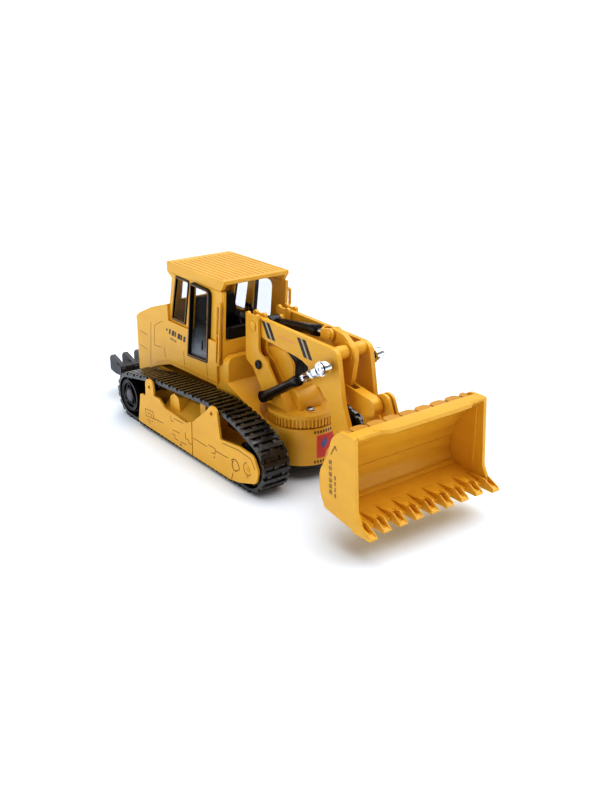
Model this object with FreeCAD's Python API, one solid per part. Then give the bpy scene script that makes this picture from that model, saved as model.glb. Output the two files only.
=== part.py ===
"""Toy tracked loader with a slewing lift frame.

Units are millimetres. +X points forward to the bucket, +Y to the machine's left, +Z up.
The origin is the centre of the base: the midpoint between the ripper tips and the bucket's tooth tips,
on the middle plane, on the surface that the tracks stand on. Each node is written to parts/NODE.step.
"""
import FreeCAD
import Part
import math
import os

Vec = FreeCAD.Vector

# ---------------------------------------------------------------- driving dimensions
HALF_LENGTH = 125.0          # tooth tips and ripper tips are this far from the origin
RUN_GAP = 0.06               # radial gap of a pin in its bore
SIDE_GAP = 0.4               # gap between plates that turn past each other

# running gear
TRACK_INNER = 23.0           # |y| of the belt's inner edge
TRACK_OUTER = 38.0           # |y| of the belt's outer edge
BELT_THICK = 2.6             # grouser tip to inside face
GROUSER_HEIGHT = 1.3
GROUSER_COUNT = 80
SPROCKET_AT = (-78.0, 13.0)
SPROCKET_WRAP = 13.0         # belt's outer radius round the sprocket
IDLER_AT = (38.0, 13.8)
IDLER_WRAP = 13.8
REAR_CARRIER = (-44.0, -8.2, 40.0)     # x, z and radius of the belt's gentle bend over the rear carrier
FRONT_CARRIER = (5.0, -55.0, 90.0)
WHEEL_GAP = 0.4              # wheels stand this far inside the belt
AXLE_R = 1.5
PANEL_IN = 38.3              # |y| of the side frame's inner face
PANEL_OUT = 39.5
CORE_IN = 24.6
WHEEL_IN = 24.0
WHEEL_OUT = 37.4

# hull and body
HULL_HALF = 19.2             # half width under the body
FRONT_HALF = 21.5            # half width in front of the cab
HULL_LOW = 8.0
HULL_HIGH = 28.0
DECK_Z = 26.8
HULL_REAR = -98.0
HULL_STEP = -13.0            # the hull widens in front of this x
PLATE_THICK = 1.5
WALL = 1.6
BODY_HALF = 21.0
BODY_TOP = 57.5              # the body's side ends here, the cab goes on upwards
BODY_REAR = -100.0
CORNER_R = 5.0               # plan radius of the body's rear corners
CAB_HALF = 19.6
CAB_FLOOR = 43.0
CAB_TOP = 84.0
SILL_TOP = 58.4              # top of the wall under the open windscreen
SEAL_DEPTH = 0.6             # how far a window seal sits in the cab wall
SEAL_WIDTH = 1.0             # rubber frame round each side window
ROOF_TOP = 89.7
ROOF_REAR = -61.2
ROOF_FRONT = -6.4
ROOF_SLATS = 12
CONSOLE_HALF = 13.0
BULKHEAD_FRONT = -3.0
BULKHEAD_TOP = 51.5

# turntable and towers
SLEW_X = 30.8
RING_R = 17.1
RING_TEETH = 56
RING_LOW = 27.3
TURN_DECK = 33.3
STUB_R = 6.0
STUB_LOW = 18.0              # the stub ends above the front axle
TOWER_OUT = (10.9, 12.2)     # |y| of the outer tower plate
TOWER_IN = (6.4, 7.7)        # |y| of the inner tower plate
LIFT_PIVOT = (7.0, 69.3)
TOWER_BOLT = (12.0, 51.0)
DRUM_X = 28.0                # axis of the hood's round drum, which lies across the deck
DRUM_R = 9.6

# lift arms, linkage and bucket
ARM_Y = (8.1, 10.5)
CROSS_TUBE = (65.0, 69.8)
CROSS_TUBE_R = 2.2
BUCKET_PIVOT = (78.5, 25.0)
CRANK_TOP = (54.0, 75.0)
CRANK_FOOT = (60.5, 51.0)
LINK_EYE = (82.8, 47.6)      # the link's front eye at rest
LINK_PIN = (84.0, 50.2)      # the bucket's upper pins
CRANK_HALF = 1.3
LINK_HALF = 2.7
UPPER_EAR_Y = ((3.2, 4.8), (6.0, 7.4))     # y ranges of the two upper ears, both on the left of the link
LINK_SLOT = 11.0             # the link's fork is open this far in front of the crank's foot
LIFT_BASE = (21.0, 38.0)
LIFT_EYE = (66.0, 65.0)
LIFT_Y = 15.2
LIFT_BARREL_R = 2.4
LIFT_BARREL_LEN = 31.0
LIFT_ROD_R = 1.7
TILT_BARREL_R = 2.5
TILT_BARREL_END = 36.0       # from the lift pivot to the end of the gland
TILT_ROD_R = 1.2
PIVOT_BAR_R = 2.0            # round bar between the towers, on the lift pivot
BUCKET_HALF = 38.0
BUCKET_PLATE = 1.8
TOOTH_COUNT = 9
TOOTH_PITCH = 9.05
TOOTH_HALF = 2.2
MIDDLE_TOOTH_SHORT = 1.5     # all teeth but the end ones stop this far behind them
RIB_HALF = 4.1
RIB_TOP = 52.6
FLOOR_FRONT = 117.4          # front of the bucket's cutting edge
PIN_R = 1.3

# rear ripper
RIPPER_PIVOT = (-104.0, 19.0)
SHANK_COUNT = 7
SHANK_PITCH = 8.0
BEAM_HALF = 26.0             # half width of the ripper's cross beam

RIGHT = -1
LEFT = 1


# ---------------------------------------------------------------- shape helpers
def box(x_range, y_range, z_range):
    """A box from three (low, high) pairs."""
    low = Vec(x_range[0], y_range[0], z_range[0])
    return Part.makeBox(x_range[1] - x_range[0], y_range[1] - y_range[0], z_range[1] - z_range[0], low)


def rod_y(centre, radius, y_range):
    """A round bar along Y through (x, z)."""
    base = Vec(centre[0], y_range[0], centre[1])
    return Part.makeCylinder(radius, y_range[1] - y_range[0], base, Vec(0, 1, 0))


def rod_z(centre, radius, z_range):
    """A round bar along Z through (x, y)."""
    base = Vec(centre[0], centre[1], z_range[0])
    return Part.makeCylinder(radius, z_range[1] - z_range[0], base, Vec(0, 0, 1))


def rod_between(start, end, radius, y_mid):
    """A round bar in the plane y = y_mid between two (x, z) points."""
    direction = Vec(end[0] - start[0], 0, end[1] - start[1])
    return Part.makeCylinder(radius, direction.Length, Vec(start[0], y_mid, start[1]), direction)


def rounded_wire(corners, lift):
    """A closed wire from (u, v) or (u, v, radius) corners; lift turns (u, v) into a point."""
    count = len(corners)
    starts = []
    ends = []
    middles = []
    for i in range(count):
        here = corners[i]
        point = Vec(here[0], here[1], 0)
        radius = here[2] if len(here) > 2 else 0.0
        before = Vec(corners[i - 1][0], corners[i - 1][1], 0) - point
        after = Vec(corners[(i + 1) % count][0], corners[(i + 1) % count][1], 0) - point
        if radius <= 0:
            starts.append(point)
            ends.append(point)
            middles.append(None)
            continue
        before.normalize()
        after.normalize()
        half = math.acos(max(-1.0, min(1.0, before.dot(after)))) / 2
        reach = radius / math.tan(half)
        bisector = before + after
        bisector.normalize()
        starts.append(point + before * reach)
        ends.append(point + after * reach)
        middles.append(point + bisector * (radius / math.sin(half) - radius))
    edges = []
    for i in range(count):
        if middles[i] is not None:
            arc = Part.Arc(lift(starts[i]), lift(middles[i]), lift(ends[i]))
            edges.append(arc.toShape())
        following = (i + 1) % count
        if (starts[following] - ends[i]).Length > 1e-6:
            edges.append(Part.LineSegment(lift(ends[i]), lift(starts[following])).toShape())
    return Part.Wire(edges)


def plate_xz(corners, y_range):
    """A plate with an (x, z) outline between two y values."""
    low, high = y_range
    wire = rounded_wire(corners, lambda p: Vec(p.x, low, p.y))
    return Part.Face(wire).extrude(Vec(0, high - low, 0))


def plate_xy(corners, z_range):
    """A plate with an (x, y) outline between two z values."""
    low, high = z_range
    wire = rounded_wire(corners, lambda p: Vec(p.x, p.y, low))
    return Part.Face(wire).extrude(Vec(0, 0, high - low))


def plate_yz(corners, x_range):
    """A plate with a (y, z) outline between two x values."""
    low, high = x_range
    wire = rounded_wire(corners, lambda p: Vec(low, p.x, p.y))
    return Part.Face(wire).extrude(Vec(high - low, 0, 0))


def side_range(side, inner, outer):
    """The (low, high) y range of a piece between two |y| values on one side."""
    return (inner, outer) if side == LEFT else (-outer, -inner)


def fuse(shapes):
    """One solid from shapes that meet."""
    whole = shapes[0].multiFuse(shapes[1:]) if len(shapes) > 1 else shapes[0]
    return whole.removeSplitter()


def along(start, end, distance):
    """The (x, z) point at a distance from start towards end."""
    length = math.hypot(end[0] - start[0], end[1] - start[1])
    share = distance / length
    return (start[0] + (end[0] - start[0]) * share, start[1] + (end[1] - start[1]) * share)


def side_name(side):
    return "left" if side == LEFT else "right"


def export(name, shapes):
    """Write one node; several solids become a compound."""
    solids = []
    for shape in shapes if isinstance(shapes, list) else [shapes]:
        solids.extend(shape.Solids)
    whole = solids[0] if len(solids) == 1 else Part.makeCompound(solids)
    if not whole.isValid():
        print("not valid:", name)
    whole.exportStep(os.path.join("parts", name + ".step"))
    bounds = whole.BoundBox
    print(f"{name:24s} {len(solids):2d} solids  x {bounds.XMin:7.1f} {bounds.XMax:7.1f}"
          f"  y {bounds.YMin:6.1f} {bounds.YMax:6.1f}  z {bounds.ZMin:5.1f} {bounds.ZMax:5.1f}")


# ---------------------------------------------------------------- tracks
def belt_circles(inset):
    """The circles that the belt runs round, in order from the rear over the top, moved in by inset."""
    return [(SPROCKET_AT[0], SPROCKET_AT[1], SPROCKET_WRAP - inset),
            (REAR_CARRIER[0], REAR_CARRIER[1], REAR_CARRIER[2] - inset),
            (FRONT_CARRIER[0], FRONT_CARRIER[1], FRONT_CARRIER[2] - inset),
            (IDLER_AT[0], IDLER_AT[1], IDLER_WRAP - inset)]


def outward_normal(first, second):
    """The angle of the outward normal of the line that touches two circles, both on its right."""
    dx = second[0] - first[0]
    dz = second[1] - first[1]
    return math.atan2(dz, dx) + math.acos((first[2] - second[2]) / math.hypot(dx, dz))


def belt_path(inset):
    """Points and outward normals along the belt's loop, at even steps, and the loop's length."""
    circles = belt_circles(inset)
    count = len(circles)
    normals = [outward_normal(circles[i], circles[(i + 1) % count]) for i in range(count)]
    pieces = []
    for i in range(count):
        turn = (normals[i - 1] - normals[i]) % (2 * math.pi)
        pieces.append(("arc", circles[i], normals[i - 1], turn, turn * circles[i][2]))
        following = circles[(i + 1) % count]
        run = math.hypot(following[0] - circles[i][0], following[1] - circles[i][1])
        run = math.sqrt(run ** 2 - (following[2] - circles[i][2]) ** 2)
        pieces.append(("line", circles[i], normals[i], run, run))
    total = sum(piece[4] for piece in pieces)

    def at(distance):
        distance %= total
        for kind, circle, normal, extent, length in pieces:
            if distance <= length:
                break
            distance -= length
        angle = normal - distance / circle[2] if kind == "arc" else normal
        start = (circle[0] + circle[2] * math.cos(angle), circle[1] + circle[2] * math.sin(angle))
        if kind == "line":
            start = (start[0] + distance * math.sin(angle), start[1] - distance * math.cos(angle))
        return start, (math.cos(angle), math.sin(angle))

    return at, total


def belt_wire(inset, y):
    """The smooth closed wire of the belt at an inset from the grouser tips."""
    circles = belt_circles(inset)
    count = len(circles)
    normals = [outward_normal(circles[i], circles[(i + 1) % count]) for i in range(count)]

    def point(circle, angle):
        return Vec(circle[0] + circle[2] * math.cos(angle), y, circle[1] + circle[2] * math.sin(angle))

    edges = []
    for i in range(count):
        turn = (normals[i - 1] - normals[i]) % (2 * math.pi)
        start = point(circles[i], normals[i - 1])
        middle = point(circles[i], normals[i - 1] - turn / 2)
        end = point(circles[i], normals[i])
        edges.append(Part.Arc(start, middle, end).toShape())
        edges.append(Part.LineSegment(end, point(circles[(i + 1) % count], normals[i])).toShape())
    return Part.Wire(edges)


def make_belt(side):
    """A one-piece rubber belt with a cross bar for each shoe."""
    y_range = side_range(side, TRACK_INNER, TRACK_OUTER)
    at, total = belt_path(GROUSER_HEIGHT)
    pitch = total / GROUSER_COUNT
    bar_base = 0.32 * pitch
    bar_tip = 0.24 * pitch
    corners = []
    for i in range(GROUSER_COUNT):
        for offset, height in ((-bar_base, 0.0), (-bar_tip, GROUSER_HEIGHT),
                               (bar_tip, GROUSER_HEIGHT), (bar_base, 0.0)):
            place, normal = at(i * pitch + offset)
            corners.append((place[0] + height * normal[0], place[1] + height * normal[1]))
    outer = plate_xz(corners, y_range)
    inner = Part.Face(belt_wire(BELT_THICK, y_range[0])).extrude(Vec(0, y_range[1] - y_range[0], 0))
    return outer.cut(inner)


def toothed_disc(centre, root, tip, teeth, y_range):
    """A disc along Y with straight-sided teeth."""
    corners = []
    for i in range(teeth):
        for share, radius in ((0.0, root), (0.28, root), (0.40, tip), (0.88, tip)):
            angle = 2 * math.pi * (i + share) / teeth
            corners.append((centre[0] + radius * math.cos(angle), centre[1] + radius * math.sin(angle)))
    return plate_xz(corners, y_range)


def make_wheel(side, centre, wrap, teeth):
    """A track wheel: toothed rim, dished face with a raised ring and a hub, bored for the axle."""
    rim = wrap - BELT_THICK - WHEEL_GAP
    inner, outer = WHEEL_IN, WHEEL_OUT
    face = outer - 1.2
    wheel = toothed_disc(centre, rim - 0.9, rim, teeth, side_range(side, inner, face))
    ring = rod_y(centre, rim - 1.6, side_range(side, face - 0.2, outer))
    ring = ring.cut(rod_y(centre, rim - 3.0, side_range(side, face - 1.0, outer + 1.0)))
    hub = rod_y(centre, 3.6, side_range(side, face - 0.2, outer))
    dish = rod_y(centre, rim - 2.6, side_range(side, inner - 1.0, inner + 5.0))
    inner_hub = rod_y(centre, 4.2, side_range(side, inner, inner + 6.0))
    wheel = wheel.cut(dish.cut(inner_hub))
    wheel = fuse([wheel, ring, hub])
    return wheel.cut(rod_y(centre, AXLE_R + RUN_GAP, side_range(side, inner - 1.0, outer - 0.9)))


def make_axle(centre, half_width):
    """A straight steel axle across the machine."""
    bar = rod_y(centre, AXLE_R, (-half_width, half_width))
    return bar


def make_frame_rear(side):
    """Rear half of the side frame's outer panel, with its narrow ear."""
    y_range = side_range(side, PANEL_IN, PANEL_OUT)
    corners = [(-65.4, 2.6, 1.0), (-61.6, 19.6, 1.0), (-55.6, 20.2), (-55.3, 30.6, 4.0),
               (-46.9, 30.6, 4.0), (-46.6, 22.6), (-41.0, 22.8, 1.0), (-36.0, 19.4, 3.0),
               (-14.0, 18.2, 1.0), (-8.9, 20.6), (-9.4, 2.1)]
    panel = plate_xz(corners, y_range)
    return panel.cut(rod_y((-51.0, 26.3), 0.9, (y_range[0] - 1, y_range[1] + 1)))


def make_frame_front(side):
    """Front half of the side frame's outer panel, with the triangular ear and the round nose."""
    y_range = side_range(side, PANEL_IN, PANEL_OUT)
    corners = [(-8.6, 2.1), (-8.1, 20.6), (5.6, 31.2, 3.0), (9.6, 35.2, 2.6), (14.8, 34.6, 3.0),
               (17.6, 20.2, 1.0), (33.8, 22.2, 6.0), (45.0, 21.6, 5.0), (49.2, 15.0, 4.0),
               (47.2, 8.0, 4.0), (33.1, 3.4, 6.0), (25.4, 2.1)]
    panel = plate_xz(corners, y_range)
    return panel.cut(rod_y((10.2, 31.2), 0.9, (y_range[0] - 1, y_range[1] + 1)))


def make_core(side):
    """Track frame between the belt's runs: box beam, sloping guard, two posts and the hull brackets."""
    low_z = 3.1
    beam = box((-64.0, 25.0), side_range(side, CORE_IN, PANEL_IN), (low_z, 17.6))
    guard_corners = [(side * CORE_IN, 17.0), (side * 38.0, 17.0), (side * 37.6, 18.0),
                     (side * 29.0, 24.6, 1.5), (side * CORE_IN, 24.6)]
    guard = plate_yz(guard_corners, (-41.0, 2.0))
    rear_post = plate_xz([(-36.0, 17.0), (-35.0, 25.5, 2.0), (-31.0, 28.2, 2.0), (-26.6, 26.8, 2.0),
                          (-25.0, 17.0)], side_range(side, 30.0, 36.0))
    front_post = plate_xz([(-10.5, 17.0), (-10.5, 30.4, 1.6), (-5.5, 30.4, 1.6), (-5.5, 17.0)],
                          side_range(side, 29.0, 33.0))
    front_bracket = box((14.0, 19.0), side_range(side, FRONT_HALF, CORE_IN + 1), (12.0, 17.0))
    rear_bracket = box((-50.0, -44.0), side_range(side, HULL_HALF, CORE_IN + 1), (12.0, 17.0))
    return fuse([beam, guard, rear_post, front_post, front_bracket, rear_bracket])


# ---------------------------------------------------------------- hull
def rear_plan(rear, half, corner_r):
    """(x, y) outline of a rear part with round corners at its back."""
    return [(rear, -half, corner_r), (HULL_STEP + 1, -half), (HULL_STEP + 1, half), (rear, half, corner_r)]


def front_plan(inset):
    """Half-width outline of the hull in front of the cab, as (x, y) corners with a round nose."""
    half = FRONT_HALF - inset
    nose_r = 18.0 - inset
    return [(HULL_STEP, -half), (0.0, -half), (30.0, -nose_r), (30.0 + nose_r, -nose_r, nose_r - 0.1),
            (30.0 + nose_r, nose_r, nose_r - 0.1), (30.0, nose_r), (0.0, half), (HULL_STEP, half)]


def slew_cone():
    """The space that the towers sweep as the turntable slews."""
    cone = Part.makeCone(18.4, 33.9, 20.0, Vec(SLEW_X, 0, DECK_Z), Vec(0, 0, 1))
    return cone.fuse(rod_z((SLEW_X, 0), 33.9, (DECK_Z + 20.0, 80.0)))


def make_hull():
    """Lower hull: rear tub, round nose with the slew bearing, shoulders, bulkhead and ripper lugs."""
    rear = plate_xz([(HULL_REAR, 12.0), (HULL_REAR, HULL_HIGH), (HULL_STEP + 1, HULL_HIGH),
                     (HULL_STEP + 1, HULL_LOW), (HULL_REAR + 6, HULL_LOW)], (-HULL_HALF, HULL_HALF))
    rear = rear.common(plate_xy(rear_plan(HULL_REAR, HULL_HALF, CORNER_R - 1.0), (0.0, 60.0)))
    front = plate_xy(front_plan(0.0), (HULL_LOW, DECK_Z))
    shoulder = plate_xz([(HULL_STEP, 20.0), (HULL_STEP, 34.0), (-8.0, 39.0), (BULKHEAD_FRONT, 39.0),
                         (14.0, 31.0), (27.0, DECK_Z), (27.0, 20.0)], (-FRONT_HALF, FRONT_HALF))
    shoulder = shoulder.common(plate_xy(front_plan(0.0), (20.0, 40.0)))
    bulkhead = plate_yz([(-20.4, 30.0), (-20.4, BULKHEAD_TOP, 4.0), (20.4, BULKHEAD_TOP, 4.0), (20.4, 30.0)],
                        (-7.9, BULKHEAD_FRONT))
    outer = fuse([rear, front, shoulder, bulkhead]).cut(slew_cone())
    rear_room = plate_xz([(HULL_REAR + WALL, 13.0), (HULL_REAR + WALL, HULL_HIGH - WALL),
                          (HULL_STEP + 1.1, HULL_HIGH - WALL), (HULL_STEP + 1.1, HULL_LOW - 1),
                          (HULL_REAR + 6.5, HULL_LOW - 1)], (-HULL_HALF + WALL, HULL_HALF - WALL))
    front_room = plate_xy(front_plan(WALL), (HULL_LOW - 1, DECK_Z - WALL))
    hollow = rear_room.fuse(front_room)
    bearing = rod_z((SLEW_X, 0), STUB_R + 3.0, (STUB_LOW + 0.4, DECK_Z))
    hollow = hollow.cut(bearing)
    hull = outer.cut(hollow)
    hull = hull.cut(rod_z((SLEW_X, 0), STUB_R + RUN_GAP, (10.0, DECK_Z + 1)))
    for axle in (SPROCKET_AT, IDLER_AT):
        hull = hull.cut(rod_y(axle, AXLE_R + 0.02, (-30, 30)))
    lugs = []
    for inner, outer_y in ((4.6, 7.6), (12.4, 15.4)):
        for side in (RIGHT, LEFT):
            lug = plate_xz([(HULL_REAR + 0.5, 13.5), (HULL_REAR + 0.5, 19.9), (RIPPER_PIVOT[0] - 3.2, 22.2, 3.0),
                            (RIPPER_PIVOT[0] - 3.2, 15.6, 3.0)], side_range(side, inner, outer_y))
            lugs.append(lug)
    hull = fuse([hull] + lugs)
    return hull.cut(rod_y(RIPPER_PIVOT, PIN_R + 0.01, (-20, 20)))


def make_base_plate():
    """Flat cover that closes the hull from below."""
    rear = box((HULL_REAR + 6.6, HULL_STEP + 2), (-HULL_HALF + 0.4, HULL_HALF - 0.4),
               (HULL_LOW - PLATE_THICK, HULL_LOW))
    front = plate_xy(front_plan(0.6), (HULL_LOW - PLATE_THICK, HULL_LOW))
    plate = fuse([rear, front])
    for x, y in screw_places():
        plate = plate.cut(rod_z((x, y), 0.9, (HULL_LOW - 2, HULL_LOW + 1)))
    return plate


def screw_places():
    """(x, y) of the six screws that hold the base plate."""
    return [(x, y) for x in (-86.0, -40.0, 18.0) for y in (-14.0, 14.0)]


def make_base_screws():
    """Six screws with flat heads under the base plate."""
    screws = []
    for x, y in screw_places():
        head = rod_z((x, y), 1.9, (HULL_LOW - PLATE_THICK - 0.8, HULL_LOW - PLATE_THICK))
        slot = box((x - 1.6, x + 1.6), (y - 0.25, y + 0.25), (HULL_LOW - 2.5, HULL_LOW - PLATE_THICK - 0.4))
        shank = rod_z((x, y), 0.85, (HULL_LOW - PLATE_THICK - 0.1, HULL_LOW + 6))
        screws.append(fuse([head, shank]).cut(slot))
    return screws


# ---------------------------------------------------------------- body and cab
def body_outline(inset):
    """(x, z) outline of the rear body, moved in by inset except along its open bottom."""
    drop = inset
    return [(BODY_REAR + inset, 20.3), (BODY_REAR + inset, 49.5 - drop, 3.0), (-92.0, 54.6 - drop, 4.0),
            (-78.0, 61.0 - drop, 4.0), (-60.2, 66.6 - drop), (-60.2 + 0.01 * inset, BODY_TOP - drop),
            (HULL_STEP - inset, BODY_TOP - drop), (HULL_STEP - inset, 34.1), (-60.0, 32.7, 8.0),
            (-73.0, 28.4, 6.0), (-92.0, 20.3)]


def door_outline(grow):
    """(x, z) corners of the door window, grown outwards."""
    return [(-40.3 - grow, 43.8 - grow, 0.8), (-34.4 - grow, 82.6 + grow, 1.5),
            (-18.4 + grow, 81.9 + grow, 3.2), (-22.6 + grow, 45.0 - grow, 1.0)]


def rear_window_outline(grow):
    """(x, z) corners of the side window behind the door, grown outwards."""
    return [(-57.2 - grow, 59.8 - grow, 0.8), (-50.8 - grow, 82.6 + grow, 1.0),
            (-39.4 + grow, 82.4 + grow, 1.0), (-45.0 + grow, 59.8 - grow, 0.8)]


def make_body_shell():
    """Engine cover and lower cab side: one thin shell, open below, with the cab floor in it."""
    shell = plate_xz(body_outline(0.0), (-BODY_HALF, BODY_HALF))
    shell = shell.common(plate_xy(rear_plan(BODY_REAR, BODY_HALF, CORNER_R), (0.0, 90.0)))
    room = plate_xz(body_outline(WALL), (-BODY_HALF + WALL, BODY_HALF - WALL))
    inner_plan = plate_xy(rear_plan(BODY_REAR + WALL, BODY_HALF - WALL, CORNER_R - WALL), (0.0, 90.0))
    room = room.common(inner_plan)
    shell = shell.cut(room)
    mouth = box((-58.4, HULL_STEP - WALL), (-BODY_HALF + WALL, BODY_HALF - WALL), (BODY_TOP - 3, BODY_TOP + 1))
    bottom = box((BODY_REAR + WALL, HULL_STEP - WALL), (-BODY_HALF + WALL, BODY_HALF - WALL), (19.0, 35.0))
    bottom = bottom.common(inner_plan)
    shell = shell.cut(mouth).cut(bottom)
    floor = box((-60.6, HULL_STEP - 0.5), (-BODY_HALF + WALL - 0.2, BODY_HALF - WALL + 0.2),
                (CAB_FLOOR, CAB_FLOOR + WALL))
    fire_wall = box((-62.0, -60.4), (-BODY_HALF + WALL - 0.2, BODY_HALF - WALL + 0.2), (CAB_FLOOR, 64.6))
    shell = fuse([shell, floor, fire_wall])
    shell = shell.cut(box((HULL_STEP - WALL - 0.1, HULL_STEP + 0.1), (-CONSOLE_HALF - 0.05, CONSOLE_HALF + 0.05),
                          (CAB_FLOOR + WALL, BODY_TOP + 1)))
    for side in (RIGHT, LEFT):
        shell = shell.cut(plate_xz(door_outline(SEAL_WIDTH + 0.1), side_range(side, CAB_HALF - 1.05, 30)))
    return shell


def make_cab_shell():
    """Cab walls and pillars with open side windows and an open front."""
    side_corners = [(-60.2, BODY_TOP), (-60.2, 66.0), (-56.6, 81.4), (-60.7, CAB_TOP), (-6.6, CAB_TOP),
                    (-8.6, BODY_TOP), (-8.6, 38.45), (-12.9, 34.15), (-12.9, BODY_TOP)]
    walls = []
    for side in (RIGHT, LEFT):
        wall = plate_xz(side_corners, side_range(side, CAB_HALF - WALL, CAB_HALF))
        walls.append(wall)
    rear_corners = [(-60.2, BODY_TOP), (-60.2, 66.0), (-56.6, 81.4), (-60.7, CAB_TOP),
                    (-56.9, CAB_TOP), (-54.8, 81.4), (-58.4, 66.0), (-58.4, BODY_TOP)]
    rear = plate_xz(rear_corners, (-CAB_HALF + 0.4, CAB_HALF - 0.4))
    rear_hole = box((-70, -50), (-13.5, 13.5), (68.6, 80.6))
    front_panel = box((-10.2, -8.6), (-CAB_HALF + 0.4, CAB_HALF - 0.4), (38.45, SILL_TOP))
    headers = []
    for side in (RIGHT, LEFT):
        headers.append(box((-58.0, -9.0), side_range(side, 17.0, CAB_HALF - WALL), (83.0, CAB_TOP)))
        headers.append(box((-37.9, -36.1), side_range(side, 17.5, 19.0), (83.0, CAB_TOP)))
    cab = fuse(walls + [rear, front_panel]).cut(rear_hole)
    cab = fuse([cab] + headers)
    for outline in (door_outline, rear_window_outline):
        cab = cab.cut(plate_xz(outline(0.0), (-30, 30)))
        for side in (RIGHT, LEFT):
            rebate = plate_xz(outline(SEAL_WIDTH + 0.1), side_range(side, CAB_HALF - SEAL_DEPTH - 0.02, 30))
            cab = cab.cut(rebate)
    return cab


def make_roof():
    """Roof with side fascias, a thin front edge, an open front and shallow grooves between the slats."""
    slab_corners = [(ROOF_REAR, CAB_TOP + 0.1), (ROOF_REAR, ROOF_TOP, 0.8), (ROOF_FRONT, ROOF_TOP, 0.5),
                    (ROOF_FRONT, ROOF_TOP - 1.8), (ROOF_FRONT - 3.0, CAB_TOP + 0.1)]
    roof = plate_xz(slab_corners, (-CAB_HALF, CAB_HALF))
    room = box((ROOF_REAR + 2.0, ROOF_FRONT + 1.0), (-CAB_HALF + 2.0, CAB_HALF - 2.0),
               (CAB_TOP - 1, ROOF_TOP - 2.2))
    roof = roof.cut(room)
    pitch = 2 * (CAB_HALF - 1.6) / ROOF_SLATS
    for i in range(ROOF_SLATS + 1):
        y = -CAB_HALF + 1.6 + i * pitch
        groove = box((ROOF_REAR + 5.0, ROOF_FRONT - 2.4), (y - 0.3, y + 0.3), (ROOF_TOP - 0.5, ROOF_TOP + 1))
        roof = roof.cut(groove)
    return roof


def make_seals(side):
    """Black rubber frames round the door window and the side window."""
    frames = []
    for outline in (door_outline, rear_window_outline):
        proud = 1.7 if outline is door_outline else 0.5
        y_range = side_range(side, CAB_HALF - SEAL_DEPTH, CAB_HALF + proud)
        ring = plate_xz(outline(SEAL_WIDTH), y_range)
        frames.append(ring.cut(plate_xz(outline(0.0), (y_range[0] - 1, y_range[1] + 1))))
    return frames


def make_glass(side):
    """Clear panes inside the two seals."""
    panes = []
    for outline in (door_outline, rear_window_outline):
        panes.append(plate_xz(outline(-0.05), side_range(side, CAB_HALF - 1.0, CAB_HALF - 0.2)))
    return panes


def make_seat():
    """Operator's seat: box base, cushion and a wide, tall backrest with arm boxes."""
    floor = CAB_FLOOR + WALL
    base = box((-46.0, -26.0), (-8.0, 8.0), (floor, 51.0))
    cushion = plate_xz([(-46.0, 50.5), (-46.0, 55.0, 1.0), (-26.0, 56.0, 2.0), (-25.0, 50.5, 1.0)], (-8.4, 8.4))
    back = plate_xz([(-47.5, 50.0), (-50.8, 70.6, 2.0), (-46.4, 71.2, 2.0), (-42.0, 50.0)], (-12.5, 12.5))
    right_box = box((-45.0, -27.0), (-15.0, -9.0), (floor, 60.0))
    left_box = box((-45.0, -27.0), (9.0, 15.0), (floor, 60.0))
    bridge = box((-44.0, -30.0), (-9.2, 9.2), (floor, 47.0))
    return fuse([base, cushion, back, right_box, left_box, bridge])


def make_console():
    """Dashboard behind the front panel, with two levers."""
    floor = CAB_FLOOR + WALL
    desk = plate_xz([(-14.6, floor), (-16.6, 62.0, 1.5), (-10.6, 66.0, 1.5), (-10.6, floor)], (-CONSOLE_HALF, CONSOLE_HALF))
    levers = []
    for y in (-4.0, 4.0):
        stick = rod_between((-14.0, 62.0), (-18.0, 69.0), 0.6, y)
        knob = Part.makeSphere(1.2, Vec(-18.0, y, 69.0))
        levers.extend([stick, knob])
    return fuse([desk] + levers)


def make_handrail():
    """Long flat rail on two standoffs in front of the right door."""
    y_range = (-CAB_HALF - 1.9, -CAB_HALF - 0.9)
    rail = plate_xz([(-12.8, 45.6), (-9.4, 78.6, 0.8), (-7.2, 78.6, 0.8), (-10.2, 45.6)], y_range)
    standoffs = []
    for x, z in ((-11.6, 47.2), (-10.4, 61.6), (-9.0, 77.0)):
        standoffs.append(rod_y((x, z), 0.9, (y_range[0] + 0.3, -CAB_HALF)))
    return fuse([rail] + standoffs)


def make_grab_handle():
    """Round hoop on the left front pillar."""
    reach = 3.4
    pillar_y = CAB_HALF
    low = Vec(-10.2, pillar_y, 69.6)
    high = Vec(-9.8, pillar_y, 79.0)
    out_low = low + Vec(0, reach, 0)
    out_high = high + Vec(0, reach, 0)
    bend = 1.6
    edges = [Part.LineSegment(low, out_low - Vec(0, bend, 0)).toShape()]
    rise = out_high - out_low
    rise.normalize()
    for index, corner in enumerate((out_low, out_high)):
        before = corner - Vec(0, bend, 0) if index == 0 else corner - rise * bend
        after = corner + rise * bend if index == 0 else corner - Vec(0, bend, 0)
        middle = corner + (before - corner) * 0.293 + (after - corner) * 0.293
        edges.append(Part.Arc(before, middle, after).toShape())
        if index == 0:
            edges.append(Part.LineSegment(after, out_high - rise * bend).toShape())
    edges.append(Part.LineSegment(out_high - Vec(0, bend, 0), high).toShape())
    path = Part.Wire(edges)
    section = Part.Wire([Part.Circle(low, Vec(0, 1, 0), 0.8).toShape()])
    return path.makePipeShell([section], True, False)


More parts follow.
